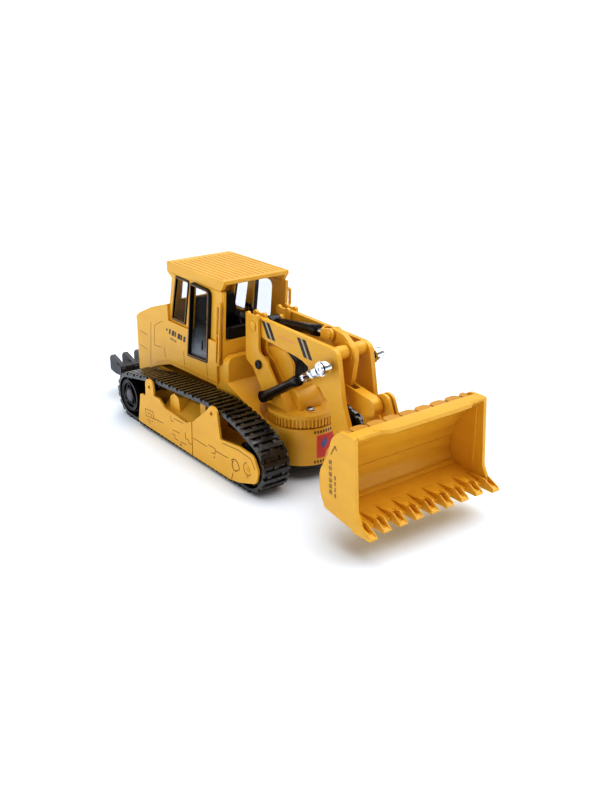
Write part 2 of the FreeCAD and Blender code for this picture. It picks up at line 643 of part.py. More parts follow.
# ---------------------------------------------------------------- turntable and towers
def make_turntable():
    """Round deck with a toothed band below its rim and a stub that turns in the hull."""
    deck = rod_z((SLEW_X, 0), RING_R, (TURN_DECK - 1.8, TURN_DECK))
    corners = []
    for i in range(RING_TEETH):
        for share, radius in ((0.0, RING_R - 1.1), (0.38, RING_R - 1.1), (0.46, RING_R - 0.2), (0.92, RING_R - 0.2)):
            angle = 2 * math.pi * (i + share) / RING_TEETH
            corners.append((SLEW_X + radius * math.cos(angle), radius * math.sin(angle)))
    band = plate_xy(corners, (RING_LOW, TURN_DECK - 1.7))
    stub = rod_z((SLEW_X, 0), STUB_R, (STUB_LOW, RING_LOW + 1))
    table = fuse([deck, band, stub])
    for screw in make_turntable_screws():
        table = table.cut(screw)
    return table


def make_turntable_screws():
    """The deck's screw and the screw with a wide washer that holds the stub in the hull."""
    head = rod_z((SLEW_X + 9.4, -2.4), 2.0, (TURN_DECK, TURN_DECK + 1.1))
    shank = rod_z((SLEW_X + 9.4, -2.4), 0.9, (RING_LOW + 0.5, TURN_DECK + 0.2))
    washer = rod_z((SLEW_X, 0), STUB_R + 2.4, (STUB_LOW - 1.2, STUB_LOW))
    bolt = rod_z((SLEW_X, 0), 1.5, (STUB_LOW - 1.5, STUB_LOW + 7.0))
    bolt_head = rod_z((SLEW_X, 0), 3.0, (STUB_LOW - 2.2, STUB_LOW - 1.1))
    return [fuse([head, shank]), fuse([washer, bolt, bolt_head])]


def tower_outline():
    """(x, z) outline of a tower plate: an upright post on a slanting foot."""
    return [(17.6, TURN_DECK), (6.6, 48.0, 3.0), (0.4, 51.0, 1.0), (1.0, 74.8, 1.6), (11.6, 74.8, 1.6),
            (11.6, 57.0, 4.0), (18.4, 53.6, 4.0), (35.0, TURN_DECK)]


def make_tower(side):
    """Two parallel plates that carry an arm's rear end between them, joined at the foot."""
    outer = plate_xz(tower_outline(), side_range(side, *TOWER_OUT))
    inner = plate_xz(tower_outline(), side_range(side, *TOWER_IN))
    foot = plate_xz([(16.4, TURN_DECK), (13.0, 37.6), (29.0, 40.4), (34.8, TURN_DECK)],
                    side_range(side, TOWER_IN[1] - 0.2, TOWER_OUT[0] + 0.2))
    boss = rod_y(TOWER_BOLT, 3.4, side_range(side, TOWER_IN[1] - 0.2, TOWER_OUT[0] + 0.2))
    trunnion = rod_y(LIFT_BASE, AXLE_R, side_range(side, TOWER_OUT[1] - 0.3, LIFT_Y + 1.2))
    tower = fuse([outer, inner, foot, boss, trunnion])
    tower = tower.cut(rod_y(LIFT_PIVOT, PIN_R + 0.01, side_range(side, 0, 20)))
    tower = tower.cut(rod_y(TOWER_BOLT, 1.5, side_range(side, 0, 20)))
    return tower


def make_hood():
    """Housing between the towers: side cheeks round an open front, over a round drum on the deck."""
    corners = [(14.0, TURN_DECK), (4.0, 47.0), (4.0, 58.0, 3.0), (16.0, 60.0, 5.0), (24.4, 60.0, 4.5),
               (31.6, 55.6, 3.5), (31.6, 44.0), (30.0, TURN_DECK)]
    half = TOWER_IN[0] - 0.05
    housing = plate_xz(corners, (-half, half))
    drum = rod_y((DRUM_X, TURN_DECK), DRUM_R, (-half, half)).common(box((20.0, 45.0), (-half, half), (TURN_DECK, 50.0)))
    housing = fuse([housing, drum])
    recess = plate_xz([(20.0, 44.6), (18.0, 57.0), (23.6, 58.4, 3.0), (30.2, 54.4, 2.5), (33.0, 50.0), (33.0, 44.6)],
                      (-half + 1.3, half - 1.3))
    housing = housing.cut(recess)
    return housing.cut(rod_y(TOWER_BOLT, 1.5, (-20, 20)))


def make_tower_bolts():
    """Black headed bolts through each tower."""
    bolts = []
    for side in (RIGHT, LEFT):
        head = rod_y(TOWER_BOLT, 2.1, side_range(side, TOWER_OUT[1], TOWER_OUT[1] + 0.5))
        shank = rod_y(TOWER_BOLT, 1.45, side_range(side, 3.0, TOWER_OUT[1] + 0.1))
        bolts.append(fuse([head, shank]))
    return bolts


def make_tower_beam():
    """Round bar between the towers on the lift pivot, thick at its ends, for the tilt cylinder's eye."""
    reach = TOWER_IN[0] - 0.02
    bar = rod_y(LIFT_PIVOT, PIVOT_BAR_R, (-reach, reach))
    collars = []
    for side in (RIGHT, LEFT):
        collars.append(rod_y(LIFT_PIVOT, 2.9, side_range(side, 3.4, reach)))
    return fuse([bar] + collars)


def make_arm_pivot_pins():
    """Headed pins that hold the arms between the tower plates."""
    pins = []
    for side in (RIGHT, LEFT):
        shank = rod_y(LIFT_PIVOT, PIN_R, side_range(side, TOWER_IN[0] + 0.1, TOWER_OUT[1] + 0.1))
        head = rod_y(LIFT_PIVOT, 2.2, side_range(side, TOWER_OUT[1], TOWER_OUT[1] + 0.7))
        pins.append(fuse([shank, head]))
    return pins


# ---------------------------------------------------------------- lift arms
def make_arm(side):
    """Bent arm: a long beam to the elbow and a leg down to the bucket's hinge."""
    foot_x, foot_z = BUCKET_PIVOT
    corners = [(LIFT_PIVOT[0] - 3.9, 65.6, 3.8), (LIFT_PIVOT[0] - 3.9, 74.2, 3.8), (69.2, 72.8, 5.0),
               (73.5, 49.0, 20.0), (foot_x + 4.6, foot_z + 2.0, 4.5), (foot_x + 1.6, foot_z - 5.4, 4.6),
               (foot_x - 5.0, foot_z - 4.2, 4.6), (65.8, 36.0, 8.0), (65.0, 46.0, 10.0), (58.4, 59.0, 5.0),
               (39.0, 62.2, 10.0), (15.0, 64.0, 10.0)]
    arm = plate_xz(corners, side_range(side, *ARM_Y))
    arm = arm.cut(rod_y(LIFT_PIVOT, PIN_R + RUN_GAP, (-20, 20)))
    return arm.cut(rod_y(BUCKET_PIVOT, PIN_R + 0.01, (-20, 20)))


def make_cross_tube():
    """Round tube between the elbows that carries the bell crank."""
    half = ARM_Y[0] - 0.02
    tube = rod_y(CROSS_TUBE, CROSS_TUBE_R, (-half, half))
    collars = []
    for side in (RIGHT, LEFT):
        collars.append(rod_y(CROSS_TUBE, 3.2, side_range(side, CRANK_HALF + 0.8, half)))
    return fuse([tube] + collars)


def make_lift_eye_pins():
    """Headed pins that stand out of the arms for the lift cylinders' eyes."""
    pins = []
    for side in (RIGHT, LEFT):
        shank = rod_y(LIFT_EYE, PIN_R, side_range(side, ARM_Y[1], LIFT_Y + 2.3))
        head = rod_y(LIFT_EYE, 2.9, side_range(side, LIFT_Y + 2.2, LIFT_Y + 3.0))
        pins.append(fuse([shank, head]))
    return pins


def make_bucket_hinge_pins():
    """Pins pressed through the arms' feet that the bucket's ears turn on."""
    pins = []
    for side in (RIGHT, LEFT):
        pins.append(rod_y(BUCKET_PIVOT, PIN_R, side_range(side, 6.2, 12.8)))
    return pins


def make_bell_crank():
    """Curved rocker on the cross tube: the tilt cylinder pushes its top, its foot moves the link."""
    top_x, top_z = CRANK_TOP
    foot_x, foot_z = CRANK_FOOT
    corners = [(top_x - 2.8, top_z - 0.6, 2.4), (top_x - 1.8, top_z + 2.9, 2.2), (62.0, 77.0, 8.0),
               (71.2, 71.0, 8.0), (68.2, 55.0, 14.0), (foot_x + 2.9, foot_z - 2.8, 2.4),
               (foot_x - 3.0, foot_z - 2.6, 2.4), (62.0, 63.0, 8.0)]
    crank = plate_xz(corners, (-CRANK_HALF, CRANK_HALF))
    hub = rod_y(CROSS_TUBE, 4.3, (-CRANK_HALF - 0.5, CRANK_HALF + 0.5))
    crank = fuse([crank, hub])
    crank = crank.cut(rod_y(CROSS_TUBE, CROSS_TUBE_R + RUN_GAP, (-5, 5)))
    return crank.cut(rod_y(CRANK_FOOT, PIN_R + RUN_GAP, (-5, 5)))


def make_tilt_link():
    """Deep bar from the crank's foot to the bucket, forked at the rear, with its pin."""
    rear_x, rear_z = CRANK_FOOT
    eye_x, eye_z = LINK_EYE
    corners = [(rear_x - 3.8, rear_z - 3.2, 3.4), (rear_x - 3.2, rear_z + 4.6, 3.4), (eye_x + 1.6, eye_z + 4.4, 3.6),
               (eye_x + 4.2, eye_z - 1.6, 3.0), (eye_x - 3.4, eye_z - 4.6, 3.6)]
    bar = plate_xz(corners, (-LINK_HALF, LINK_HALF))
    slot = box((rear_x - 8, rear_x + LINK_SLOT), (-CRANK_HALF - SIDE_GAP, CRANK_HALF + SIDE_GAP), (rear_z - 12, rear_z + 12))
    pin = rod_y(CRANK_FOOT, PIN_R, (-LINK_HALF, LINK_HALF))
    return fuse([bar.cut(slot), pin])


# ---------------------------------------------------------------- cylinders
def on_tilt_axis(distance):
    """The (x, z) point on the tilt cylinder's axis at a distance from the lift pivot."""
    return along(LIFT_PIVOT, CRANK_TOP, distance)


def make_tilt_barrel():
    """Black tilt cylinder barrel with a base eye on the pivot bar and a gland at its mouth."""
    barrel = rod_between(on_tilt_axis(5.5), on_tilt_axis(TILT_BARREL_END - 2.0), TILT_BARREL_R, 0.0)
    gland = rod_between(on_tilt_axis(TILT_BARREL_END - 4.4), on_tilt_axis(TILT_BARREL_END),
                        TILT_BARREL_R + 0.3, 0.0)
    neck = rod_between(LIFT_PIVOT, on_tilt_axis(7.0), 2.0, 0.0)
    eye = rod_y(LIFT_PIVOT, PIVOT_BAR_R + 1.4, (-3.0, 3.0))
    barrel = fuse([barrel, gland, neck, eye])
    bore = rod_between(on_tilt_axis(9.0), on_tilt_axis(TILT_BARREL_END + 1.0), TILT_ROD_R + RUN_GAP, 0.0)
    return barrel.cut(bore).cut(rod_y(LIFT_PIVOT, PIVOT_BAR_R + RUN_GAP, (-5, 5)))


def tilt_reach():
    """Distance from the lift pivot to the crank's top at rest."""
    return math.hypot(CRANK_TOP[0] - LIFT_PIVOT[0], CRANK_TOP[1] - LIFT_PIVOT[1])


def make_tilt_rod():
    """Chromed tilt rod."""
    return rod_between(on_tilt_axis(14.5), on_tilt_axis(tilt_reach() - 5.2), TILT_ROD_R, 0.0)


def make_tilt_clevis():
    """Fork on the tilt rod that takes the crank's top between its cheeks."""
    inner = CRANK_HALF + SIDE_GAP
    outer = inner + 1.3
    reach = tilt_reach()
    shoulder = along(LIFT_PIVOT, CRANK_TOP, reach - 5.8)
    pieces = []
    for side in (RIGHT, LEFT):
        round_end = rod_y(CRANK_TOP, 2.8, side_range(side, inner, outer))
        web = plate_xz([(shoulder[0], shoulder[1] + 2.3), (CRANK_TOP[0], CRANK_TOP[1] + 2.8),
                        (CRANK_TOP[0], CRANK_TOP[1] - 2.8), (shoulder[0], shoulder[1] - 2.3)],
                       side_range(side, inner, outer))
        boss = rod_y(CRANK_TOP, 1.7, side_range(side, outer - 0.1, outer + 0.8))
        pieces.append(fuse([round_end, web, boss]))
    bridge = rod_between(along(LIFT_PIVOT, CRANK_TOP, reach - 6.2), along(LIFT_PIVOT, CRANK_TOP, reach - 4.9),
                         outer, 0.0)
    clevis = fuse(pieces + [bridge])
    return clevis.cut(make_tilt_rod())


def make_lift_barrel(side):
    """Black lift cylinder barrel that turns on the tower's trunnion."""
    y_mid = side * LIFT_Y
    end = along(LIFT_BASE, LIFT_EYE, LIFT_BARREL_LEN)
    barrel = rod_between(LIFT_BASE, end, LIFT_BARREL_R, y_mid)
    base = rod_y(LIFT_BASE, 2.8, side_range(side, LIFT_Y - 2.5, LIFT_Y + 2.3))
    gland = rod_between(along(LIFT_BASE, LIFT_EYE, LIFT_BARREL_LEN - 3.6),
                        along(LIFT_BASE, LIFT_EYE, LIFT_BARREL_LEN + 0.4), LIFT_BARREL_R + 0.3, y_mid)
    barrel = fuse([barrel, base, gland])
    barrel = barrel.cut(rod_between(along(LIFT_BASE, LIFT_EYE, 4.0), along(LIFT_BASE, LIFT_EYE, 40.0),
                                    LIFT_ROD_R + RUN_GAP, y_mid))
    return barrel.cut(rod_y(LIFT_BASE, AXLE_R + RUN_GAP, side_range(side, LIFT_Y - 4.0, LIFT_Y + 1.4)))


def make_lift_rod(side):
    """Chromed lift rod with a flat eye."""
    y_mid = side * LIFT_Y
    length = math.hypot(LIFT_EYE[0] - LIFT_BASE[0], LIFT_EYE[1] - LIFT_BASE[1])
    rod = rod_between(along(LIFT_BASE, LIFT_EYE, 7.2), along(LIFT_BASE, LIFT_EYE, length - 2.6), LIFT_ROD_R, y_mid)
    eye = rod_y(LIFT_EYE, 3.4, side_range(side, LIFT_Y - 1.8, LIFT_Y + 1.8))
    rod = fuse([rod, eye])
    return rod.cut(rod_y(LIFT_EYE, PIN_R + 0.95, side_range(side, 8, 24)))


# ---------------------------------------------------------------- bucket
def bucket_back(outset):
    """(x, z) corners of the bucket's back and floor from the lip to the cutting edge, moved outwards."""
    return [(111.0 - 0.3 * outset, 50.2 + outset), (103.0 - outset, 43.6 + 0.3 * outset, 8.0),
            (96.6 - outset, 34.0, 10.0), (95.0 - outset, 24.0, 8.0), (97.6 - outset, 18.0 - outset, 3.0),
            (116.6, 14.9 - outset)]


def make_bucket_shell():
    """Bucket back, floor and top lip with a deeper middle part."""
    inner = bucket_back(0.0)
    outer = bucket_back(BUCKET_PLATE)
    corners = inner + outer[::-1]
    half = BUCKET_HALF - BUCKET_PLATE - 0.02
    shell = plate_xz(corners, (-half, half))
    lip = plate_xz([(107.4, 51.0), (107.4, 53.8, 0.6), (114.0, 54.0, 0.6), (114.0, 52.6), (111.2, 50.0)],
                   (-half, half))
    guard = plate_xy([(112.4, -27.0), (116.4, -20.0), (116.4, 26.0), (112.4, 27.0)], (52.5, 54.2))
    edge = plate_xz([(111.0, 15.8), (FLOOR_FRONT, 14.9), (FLOOR_FRONT, 13.3), (111.0, 13.9)], (-half, half))
    return fuse([shell, lip, guard, edge])


def make_bucket_side(side):
    """Flat side plate whose lower front corner runs out into the end tooth."""
    corners = [(104.6, 53.9, 4.0), (99.6, 49.2, 5.0), (97.2, 41.0, 5.0), (92.0, 32.0, 8.0), (92.6, 22.4, 4.0),
               (95.6, 16.2, 1.5), (118.0, 12.6), (119.2, 15.2), (115.6, 22.0, 5.0), (113.8, 53.9, 0.8)]
    return plate_xz(corners, side_range(side, BUCKET_HALF - BUCKET_PLATE, BUCKET_HALF))


def make_bucket_teeth():
    """Row of hollow-topped teeth that grip the cutting edge, each with a wedge that runs back over the floor."""
    teeth = []
    shell = make_bucket_shell()
    sides = [make_bucket_side(side) for side in (RIGHT, LEFT)]
    for i in range(TOOTH_COUNT):
        y = (i - (TOOTH_COUNT - 1) / 2) * TOOTH_PITCH
        y_range = (max(-BUCKET_HALF, y - TOOTH_HALF), min(BUCKET_HALF, y + TOOTH_HALF))
        is_end = i in (0, TOOTH_COUNT - 1)
        tip = HALF_LENGTH if is_end else HALF_LENGTH - MIDDLE_TOOTH_SHORT
        low = 12.3 if is_end else 12.8
        body = plate_xz([(113.4, 12.8), (113.4, 16.9, 0.4), (119.0, 16.5), (tip, 13.6),
                         (tip, low + 0.3), (tip - 1.2, low), (115.0, low)], y_range)
        wedge = plate_xz([(105.0, 16.3), (113.6, 16.9), (113.6, 14.6), (105.0, 15.8)], y_range)
        hollow = box((116.2, HALF_LENGTH + 1), (y - 1.1, y + 1.1), (14.5, 20.0))
        tooth = fuse([body, wedge]).cut(hollow).cut(shell)
        for side_plate in sides:
            tooth = tooth.cut(side_plate)
        teeth.append(tooth)
    return teeth


def make_bucket_ribs():
    """Round-backed upright ribs on the bucket's back, one behind each tooth, that end in the lip's scallops."""
    ribs = []
    face = [(107.6, RIB_TOP), (107.6, 51.0), (101.9, 44.4), (95.4, 34.0), (94.2, 26.0)]
    crest = [(91.2, 27.0), (91.4, 33.0, 6.0), (94.4, 41.8, 8.0), (100.4, 49.2, 3.0), (101.4, RIB_TOP)]
    shell = make_bucket_shell()
    inside = BUCKET_HALF - BUCKET_PLATE - 0.02
    for i in range(TOOTH_COUNT):
        y = (i - (TOOTH_COUNT - 1) / 2) * TOOTH_PITCH
        rib = plate_xz(face + crest, (y - RIB_HALF, y + RIB_HALF))
        long_edges = [edge for edge in rib.Edges if is_crest_edge(edge, y)]
        rib = rib.makeFillet(RIB_HALF - 1.4, long_edges)
        rib = rib.common(box((80, 120), (-inside, inside), (10, 60)))
        ribs.append(rib.cut(shell))
    return ribs


def is_crest_edge(edge, y):
    """True for a rib's long outer edges between its foot and the lip."""
    box_of_edge = edge.BoundBox
    flat = box_of_edge.YLength < 1e-6 and abs(abs(box_of_edge.YMin - y) - RIB_HALF) < 1e-6
    middle = edge.valueAt((edge.FirstParameter + edge.LastParameter) / 2)
    outer_x = 90.6 + 0.56 * max(0.0, middle.z - 31.0)
    return flat and middle.x < outer_x + 1.6 and middle.z > 27.2 and middle.z < RIB_TOP - 0.1


def make_bucket_ears():
    """Hinge ears on the back: two pairs on the lower pins and two slender ones with a boss beside the link."""
    pin_x, pin_z = LINK_PIN
    upper_corners = [(pin_x - 3.8, pin_z - 2.0, 3.4), (pin_x - 3.0, pin_z + 4.0, 3.8), (pin_x + 3.6, pin_z + 3.8, 3.6),
                     (94.6, 38.2), (91.6, 33.0)]
    pieces = [rod_y(LINK_PIN, 2.7, (UPPER_EAR_Y[0][1] - 0.1, UPPER_EAR_Y[1][1] + 0.6))]
    for y_range in UPPER_EAR_Y:
        pieces.append(plate_xz(upper_corners, y_range))
    for side in (RIGHT, LEFT):
        inner = plate_xz([(BUCKET_PIVOT[0] - 3.9, BUCKET_PIVOT[1] - 3.9, 3.8), (BUCKET_PIVOT[0] - 3.9, BUCKET_PIVOT[1] + 3.9, 3.8),
                          (91.6, 34.0), (92.0, 20.4)], side_range(side, 6.0, ARM_Y[0] - SIDE_GAP))
        outer = plate_xz([(BUCKET_PIVOT[0] - 3.9, BUCKET_PIVOT[1] - 3.9, 3.8), (BUCKET_PIVOT[0] - 3.9, BUCKET_PIVOT[1] + 3.9, 3.8),
                          (91.6, 34.0), (92.0, 20.4)], side_range(side, ARM_Y[1] + SIDE_GAP, ARM_Y[1] + SIDE_GAP + 2.0))
        pieces.extend([inner, outer])
    pad = plate_xz([(91.0, 19.6), (91.0, 35.0), (93.6, 38.8), (95.0, 37.4), (93.3, 33.0), (93.0, 24.0), (94.0, 19.6)],
                   (-13.6, 13.6))
    ears = fuse(pieces + [pad])
    for rib in make_bucket_ribs():
        ears = ears.cut(rib)
    ears = ears.cut(make_bucket_shell())
    return ears.cut(rod_y(BUCKET_PIVOT, PIN_R + RUN_GAP, (-20, 20)))


# ---------------------------------------------------------------- ripper
def make_ripper_beam():
    """Cross beam on two arms that hinge on the hull's rear lugs."""
    beam = plate_xz([(-116.6, 13.6, 1.0), (-116.6, 18.8, 1.0), (-110.0, 18.0, 1.0), (-110.0, 12.8, 1.0)],
                    (-BEAM_HALF, BEAM_HALF))
    arms = []
    for side in (RIGHT, LEFT):
        arm = plate_xz([(RIPPER_PIVOT[0] + 2.8, 16.2, 2.6), (RIPPER_PIVOT[0] + 2.8, 21.8, 2.6), (-105.5, 21.6),
                        (-111.4, 17.2), (-111.4, 13.4), (-105.5, 16.4)],
                       side_range(side, 8.0, 12.0))
        arms.append(arm)
    ripper = fuse([beam] + arms).cut(rod_y(RIPPER_PIVOT, PIN_R + RUN_GAP, (-20, 20)))
    for shank in make_ripper_shanks():
        ripper = ripper.cut(shank)
    return ripper


def make_ripper_shanks():
    """Seven short shanks through the beam, each with a deep rear end."""
    shanks = []
    for i in range(SHANK_COUNT):
        y = (i - (SHANK_COUNT - 1) / 2) * SHANK_PITCH
        shank = plate_xz([(-109.2, 16.8, 1.0), (-116.0, 20.0, 3.0), (-123.2, 22.0, 1.2), (-HALF_LENGTH, 19.6, 1.0),
                          (-HALF_LENGTH, 12.4, 1.0), (-118.6, 11.4, 3.0), (-109.2, 12.2, 1.0)],
                         (y - 1.3, y + 1.3))
        shanks.append(shank)
    return shanks


def make_ripper_pins():
    """Two pins in the hull's rear lugs."""
    return [rod_y(RIPPER_PIVOT, PIN_R, side_range(side, 4.2, 15.8)) for side in (RIGHT, LEFT)]


# ---------------------------------------------------------------- all nodes
def main():
    os.makedirs("parts", exist_ok=True)
    for side in (RIGHT, LEFT):
        name = side_name(side)
        export("track_belt_" + name, make_belt(side))
        export("sprocket_" + name, make_wheel(side, SPROCKET_AT, SPROCKET_WRAP, 15))
        export("idler_" + name, make_wheel(side, IDLER_AT, IDLER_WRAP, 16))
        export("track_frame_" + name, [make_frame_rear(side), make_frame_front(side)])
        export("frame_core_" + name, make_core(side))
        export("window_seals_" + name, make_seals(side))
        export("window_glass_" + name, make_glass(side))
        export("tower_" + name, make_tower(side))
        export("arm_" + name, make_arm(side))
        export("lift_barrel_" + name, make_lift_barrel(side))
        export("lift_rod_" + name, make_lift_rod(side))
        export("bucket_side_" + name, make_bucket_side(side))
    export("rear_axle", make_axle(SPROCKET_AT, WHEEL_OUT - 1.2))
    export("front_axle", make_axle(IDLER_AT, WHEEL_OUT - 1.2))
    export("hull", make_hull())
    export("base_plate", make_base_plate())
    export("base_screws", make_base_screws())
    export("body_shell", make_body_shell())
    export("cab_shell", make_cab_shell())
    export("cab_roof", make_roof())
    export("seat", make_seat())
    export("console", make_console())
    export("handrail", make_handrail())
    export("grab_handle", make_grab_handle())
    export("turntable", make_turntable())
    export("turntable_screws", make_turntable_screws())
    export("hood", make_hood())
    export("tower_bolts", make_tower_bolts())
    export("tower_beam", make_tower_beam())
    export("arm_pivot_pins", make_arm_pivot_pins())
    export("cross_tube", make_cross_tube())
    export("lift_eye_pins", make_lift_eye_pins())
    export("bucket_hinge_pins", make_bucket_hinge_pins())
    export("bell_crank", make_bell_crank())
    export("tilt_link", make_tilt_link())
    export("tilt_barrel", make_tilt_barrel())
    export("tilt_rod", make_tilt_rod())
    export("tilt_clevis", make_tilt_clevis())
    export("bucket_shell", make_bucket_shell())
    export("bucket_teeth", make_bucket_teeth())
    export("bucket_ribs", make_bucket_ribs())
    export("bucket_ears", make_bucket_ears())
    export("ripper_beam", make_ripper_beam())
    export("ripper_shanks", make_ripper_shanks())
    export("ripper_pins", make_ripper_pins())


main()
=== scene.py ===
"""Looks for the toy tracked loader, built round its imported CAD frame.

Lengths are millimetres here and turn into metres when a mesh is made. The frame is the CAD's:
+X forward to the bucket, +Y to the machine's left, +Z up, the floor at z = 0. An outline on a side
face is a row of (x, z) points, and a side face is given by its |y|.
"""
import math

import bmesh
import bpy
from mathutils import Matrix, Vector


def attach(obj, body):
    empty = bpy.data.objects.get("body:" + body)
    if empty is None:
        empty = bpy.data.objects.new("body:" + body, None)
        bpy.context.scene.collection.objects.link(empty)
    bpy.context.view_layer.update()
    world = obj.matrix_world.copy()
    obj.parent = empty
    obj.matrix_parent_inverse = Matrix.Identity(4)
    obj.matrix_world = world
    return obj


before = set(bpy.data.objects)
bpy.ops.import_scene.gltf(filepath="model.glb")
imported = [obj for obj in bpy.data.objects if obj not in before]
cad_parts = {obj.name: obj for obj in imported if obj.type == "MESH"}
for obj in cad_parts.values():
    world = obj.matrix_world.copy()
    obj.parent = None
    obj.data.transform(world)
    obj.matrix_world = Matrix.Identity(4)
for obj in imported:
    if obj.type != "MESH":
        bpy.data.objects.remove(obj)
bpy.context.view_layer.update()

MM = 0.001
RIGHT = -1
LEFT = 1
SIDES = ((RIGHT, "right"), (LEFT, "left"))
SKIN = 0.06                  # a printed or engraved mark stands this far off its surface
ROOT = 0.1                   # and reaches this far into it

# |y| of the outer faces, as in the CAD
PANEL_FACE = 39.5            # side frames
BODY_FACE = 21.0             # engine cover
CAB_FACE = 19.6              # cab walls
RAIL_FACE = 21.5             # flat handrail
WHEEL_FACE = 37.4            # sprockets
ARM_FACE = 10.5              # lift arms
TOWER_FACE = 12.2            # outer tower plates
INNER_TOWER_FACE = 6.2       # just inside the inner tower plates
BUCKET_FACE = 38.0           # bucket side plates

# places as in the CAD, (x, z) unless it is said otherwise
NOSE_AT = (30.0, 0.0)        # (x, y) of the round nose's axis
NOSE_R = 18.0
SPROCKET_AT = (-78.0, 13.0)
IDLER_AT = (38.0, 13.8)
LIFT_PIVOT = (7.0, 69.3)
TOWER_BOLT = (12.0, 51.0)
TOWER_CORNERS = ((2.6, 74.2), (9.8, 74.2))   # rounded corners at the tower plates' tops
LIFT_BASE = (21.0, 38.0)     # lower eye of the lift cylinders
LIFT_EYE = (66.0, 65.0)      # their eye on the arm
LIFT_Y = 15.2                # |y| of their axes
DECK_SCREW = (40.2, -2.4, 33.3)      # (x, y, z) of its seat on the turntable's deck

# tracks
# (x, z, radius) of the circles that the belt's outer face follows, with straight runs between them
BELT_CIRCLES = ((*SPROCKET_AT, 13.0), (-44.0, -8.2, 40.0), (5.0, -55.0, 90.0), (*IDLER_AT, 13.8))
GROUSER_COUNT = 80
GROUSER_HEIGHT = 1.3
TRACK_INNER = 23.0
TRACK_OUTER = 38.0
LINK_END = 0.2               # a link starts this share of the pitch after its cross bar
LINK_ROOT = 0.3              # depth of a link's foot in the belt
EDGE_LINKS = ((TRACK_OUTER - 1.5, TRACK_OUTER - 0.05, 0.72),     # |y| from, to, share of a bar's height
              (TRACK_INNER + 0.05, TRACK_INNER + 1.5, 0.72),
              (29.2, 31.8, 0.55))
MIDDLE_LINKS = ((33.4, 35.6, 0.6), (25.4, 27.6, 0.6))
LOBE_ANGLES = (90, 210, 330)
LOBE_AT = 5.1                # radius on which the sprocket's lobes lie
LOBE_R = 1.9
LOBE_SWEEP = 62              # a lobe's arc runs this many degrees to each side
LOBE_RIM = 0.86              # the lobes' inner line is their outer one shrunk by this

# moulded lines on the side frames' outer faces, drawn as dark strips of painted groove shade
FINE_LINE = 0.32
FRAME_PLATE = ((-57.0, 12.2), (-48.3, 13.1), (-48.0, 9.2), (-50.6, 8.9), (-56.2, 8.4))
FRAME_LINES = (
    ((-54.6, 10.6), (-50.6, 11.0), (-50.4, 9.4)),
    ((-55.3, 6.4), (-52.6, 6.7), (-52.4, 4.9)),
    ((-50.6, 6.9), (-49.2, 7.0)),
    ((-48.0, 9.4), (-37.6, 10.2)),
    ((-29.4, 17.0), (-29.2, 14.4), (-26.8, 14.6)),
    ((-26.6, 16.6), (-17.0, 17.0)),
    ((-29.2, 7.2), (-26.2, 7.4), (-26.0, 5.4), (-22.8, 5.5)),
    ((-28.2, 9.6), (-21.0, 10.2)),
    ((-20.4, 5.6), (-14.6, 6.0)),
    ((-15.4, 12.6), (-15.2, 9.2), (-12.2, 9.4), (-12.0, 7.9), (-9.4, 8.0)),
    ((-7.6, 12.2), (5.2, 12.0)),
    ((6.4, 13.6), (12.8, 13.6), (12.6, 10.8), (9.4, 10.4)),
    ((12.8, 12.6), (24.0, 12.9)),
    ((19.4, 19.0), (33.2, 20.3), (43.4, 19.4), (46.6, 15.2)),
    ((39.6, 9.4), (41.0, 8.8)),
)
FRAME_CURL = (30.0, 10.9)    # two open arcs and a tail below them
FRAME_BOSS = (40.4, 13.2)    # boss with a hexagon over the idler's axle
FRAME_EARS = ((-51.0, 26.3), (10.2, 31.2))   # holes in the ears at its top

# print on the nose: angles in degrees round its axis, heights in millimetres
FIELD_START = -13.0          # the red field
FIELD_END = 24.0
FIELD_Z = (11.5, 23.2)
DASH_ROWS = (24.3, 8.9)      # lower edges of the two rows of dashes
DASH_HEIGHT = 1.4

# body and cab
SEAM_WIDTH = 0.22
BODY_SEAMS = (
    ((-79.4, 52.0), (-80.6, 40.0), (-82.2, 26.6)),
    ((-92.6, 43.8), (-84.6, 43.3)),
    ((-93.6, 35.4), (-85.4, 34.5)),
    ((-75.4, 51.0), (-76.8, 39.4), (-69.2, 40.0)),
    ((-75.4, 51.0), (-66.4, 55.8)),
    ((-66.2, 41.0), (-64.6, 35.4)),
    ((-45.0, 44.4), (-44.6, 35.4)),
    ((-22.4, 43.0), (-21.6, 34.6)),
)
SKIRT_RIDGE = ((-76.5, 29.6), (-68.0, 33.0), (-60.0, 35.2), (-50.0, 36.0), (-14.4, 36.4))
PRINT_BARS = (1.5, 2.3, 1.1, 2.6, 1.4, 1.9)      # widths of the dark bars printed on the body
DOOR_PANE = ((-39.5, 44.8), (-34.0, 81.6), (-19.8, 81.0), (-23.3, 45.9))
REAR_PANE = ((-56.3, 60.7), (-50.4, 81.7), (-40.2, 81.5), (-45.5, 60.7))
LIP_AWAY = 0.95              # the window lips run this far outside the panes
GRILLE_DEPTH = (-100.45, -99.9)      # x between which the rear grille's bars stand
ROOF_SLATS = 12
ROOF_GROOVE_PITCH = 3.0
ROOF_GROOVE_HALF = 0.27
ROOF_GROOVE_X = (-56.1, -8.9)        # the grooves' rear and front ends
SEAT_LEAN = 0.21             # backward lean of the seat's back, per unit of height
RAIL_LOW = 46.4
RAIL_HIGH = 77.6
RAIL_LEAN = 3.4 / 33.0       # forward lean of the flat handrail, per unit of height

# arms and bucket
BAND_LEAN = 0.62             # forward lean of the arm's printed bands, per unit of height
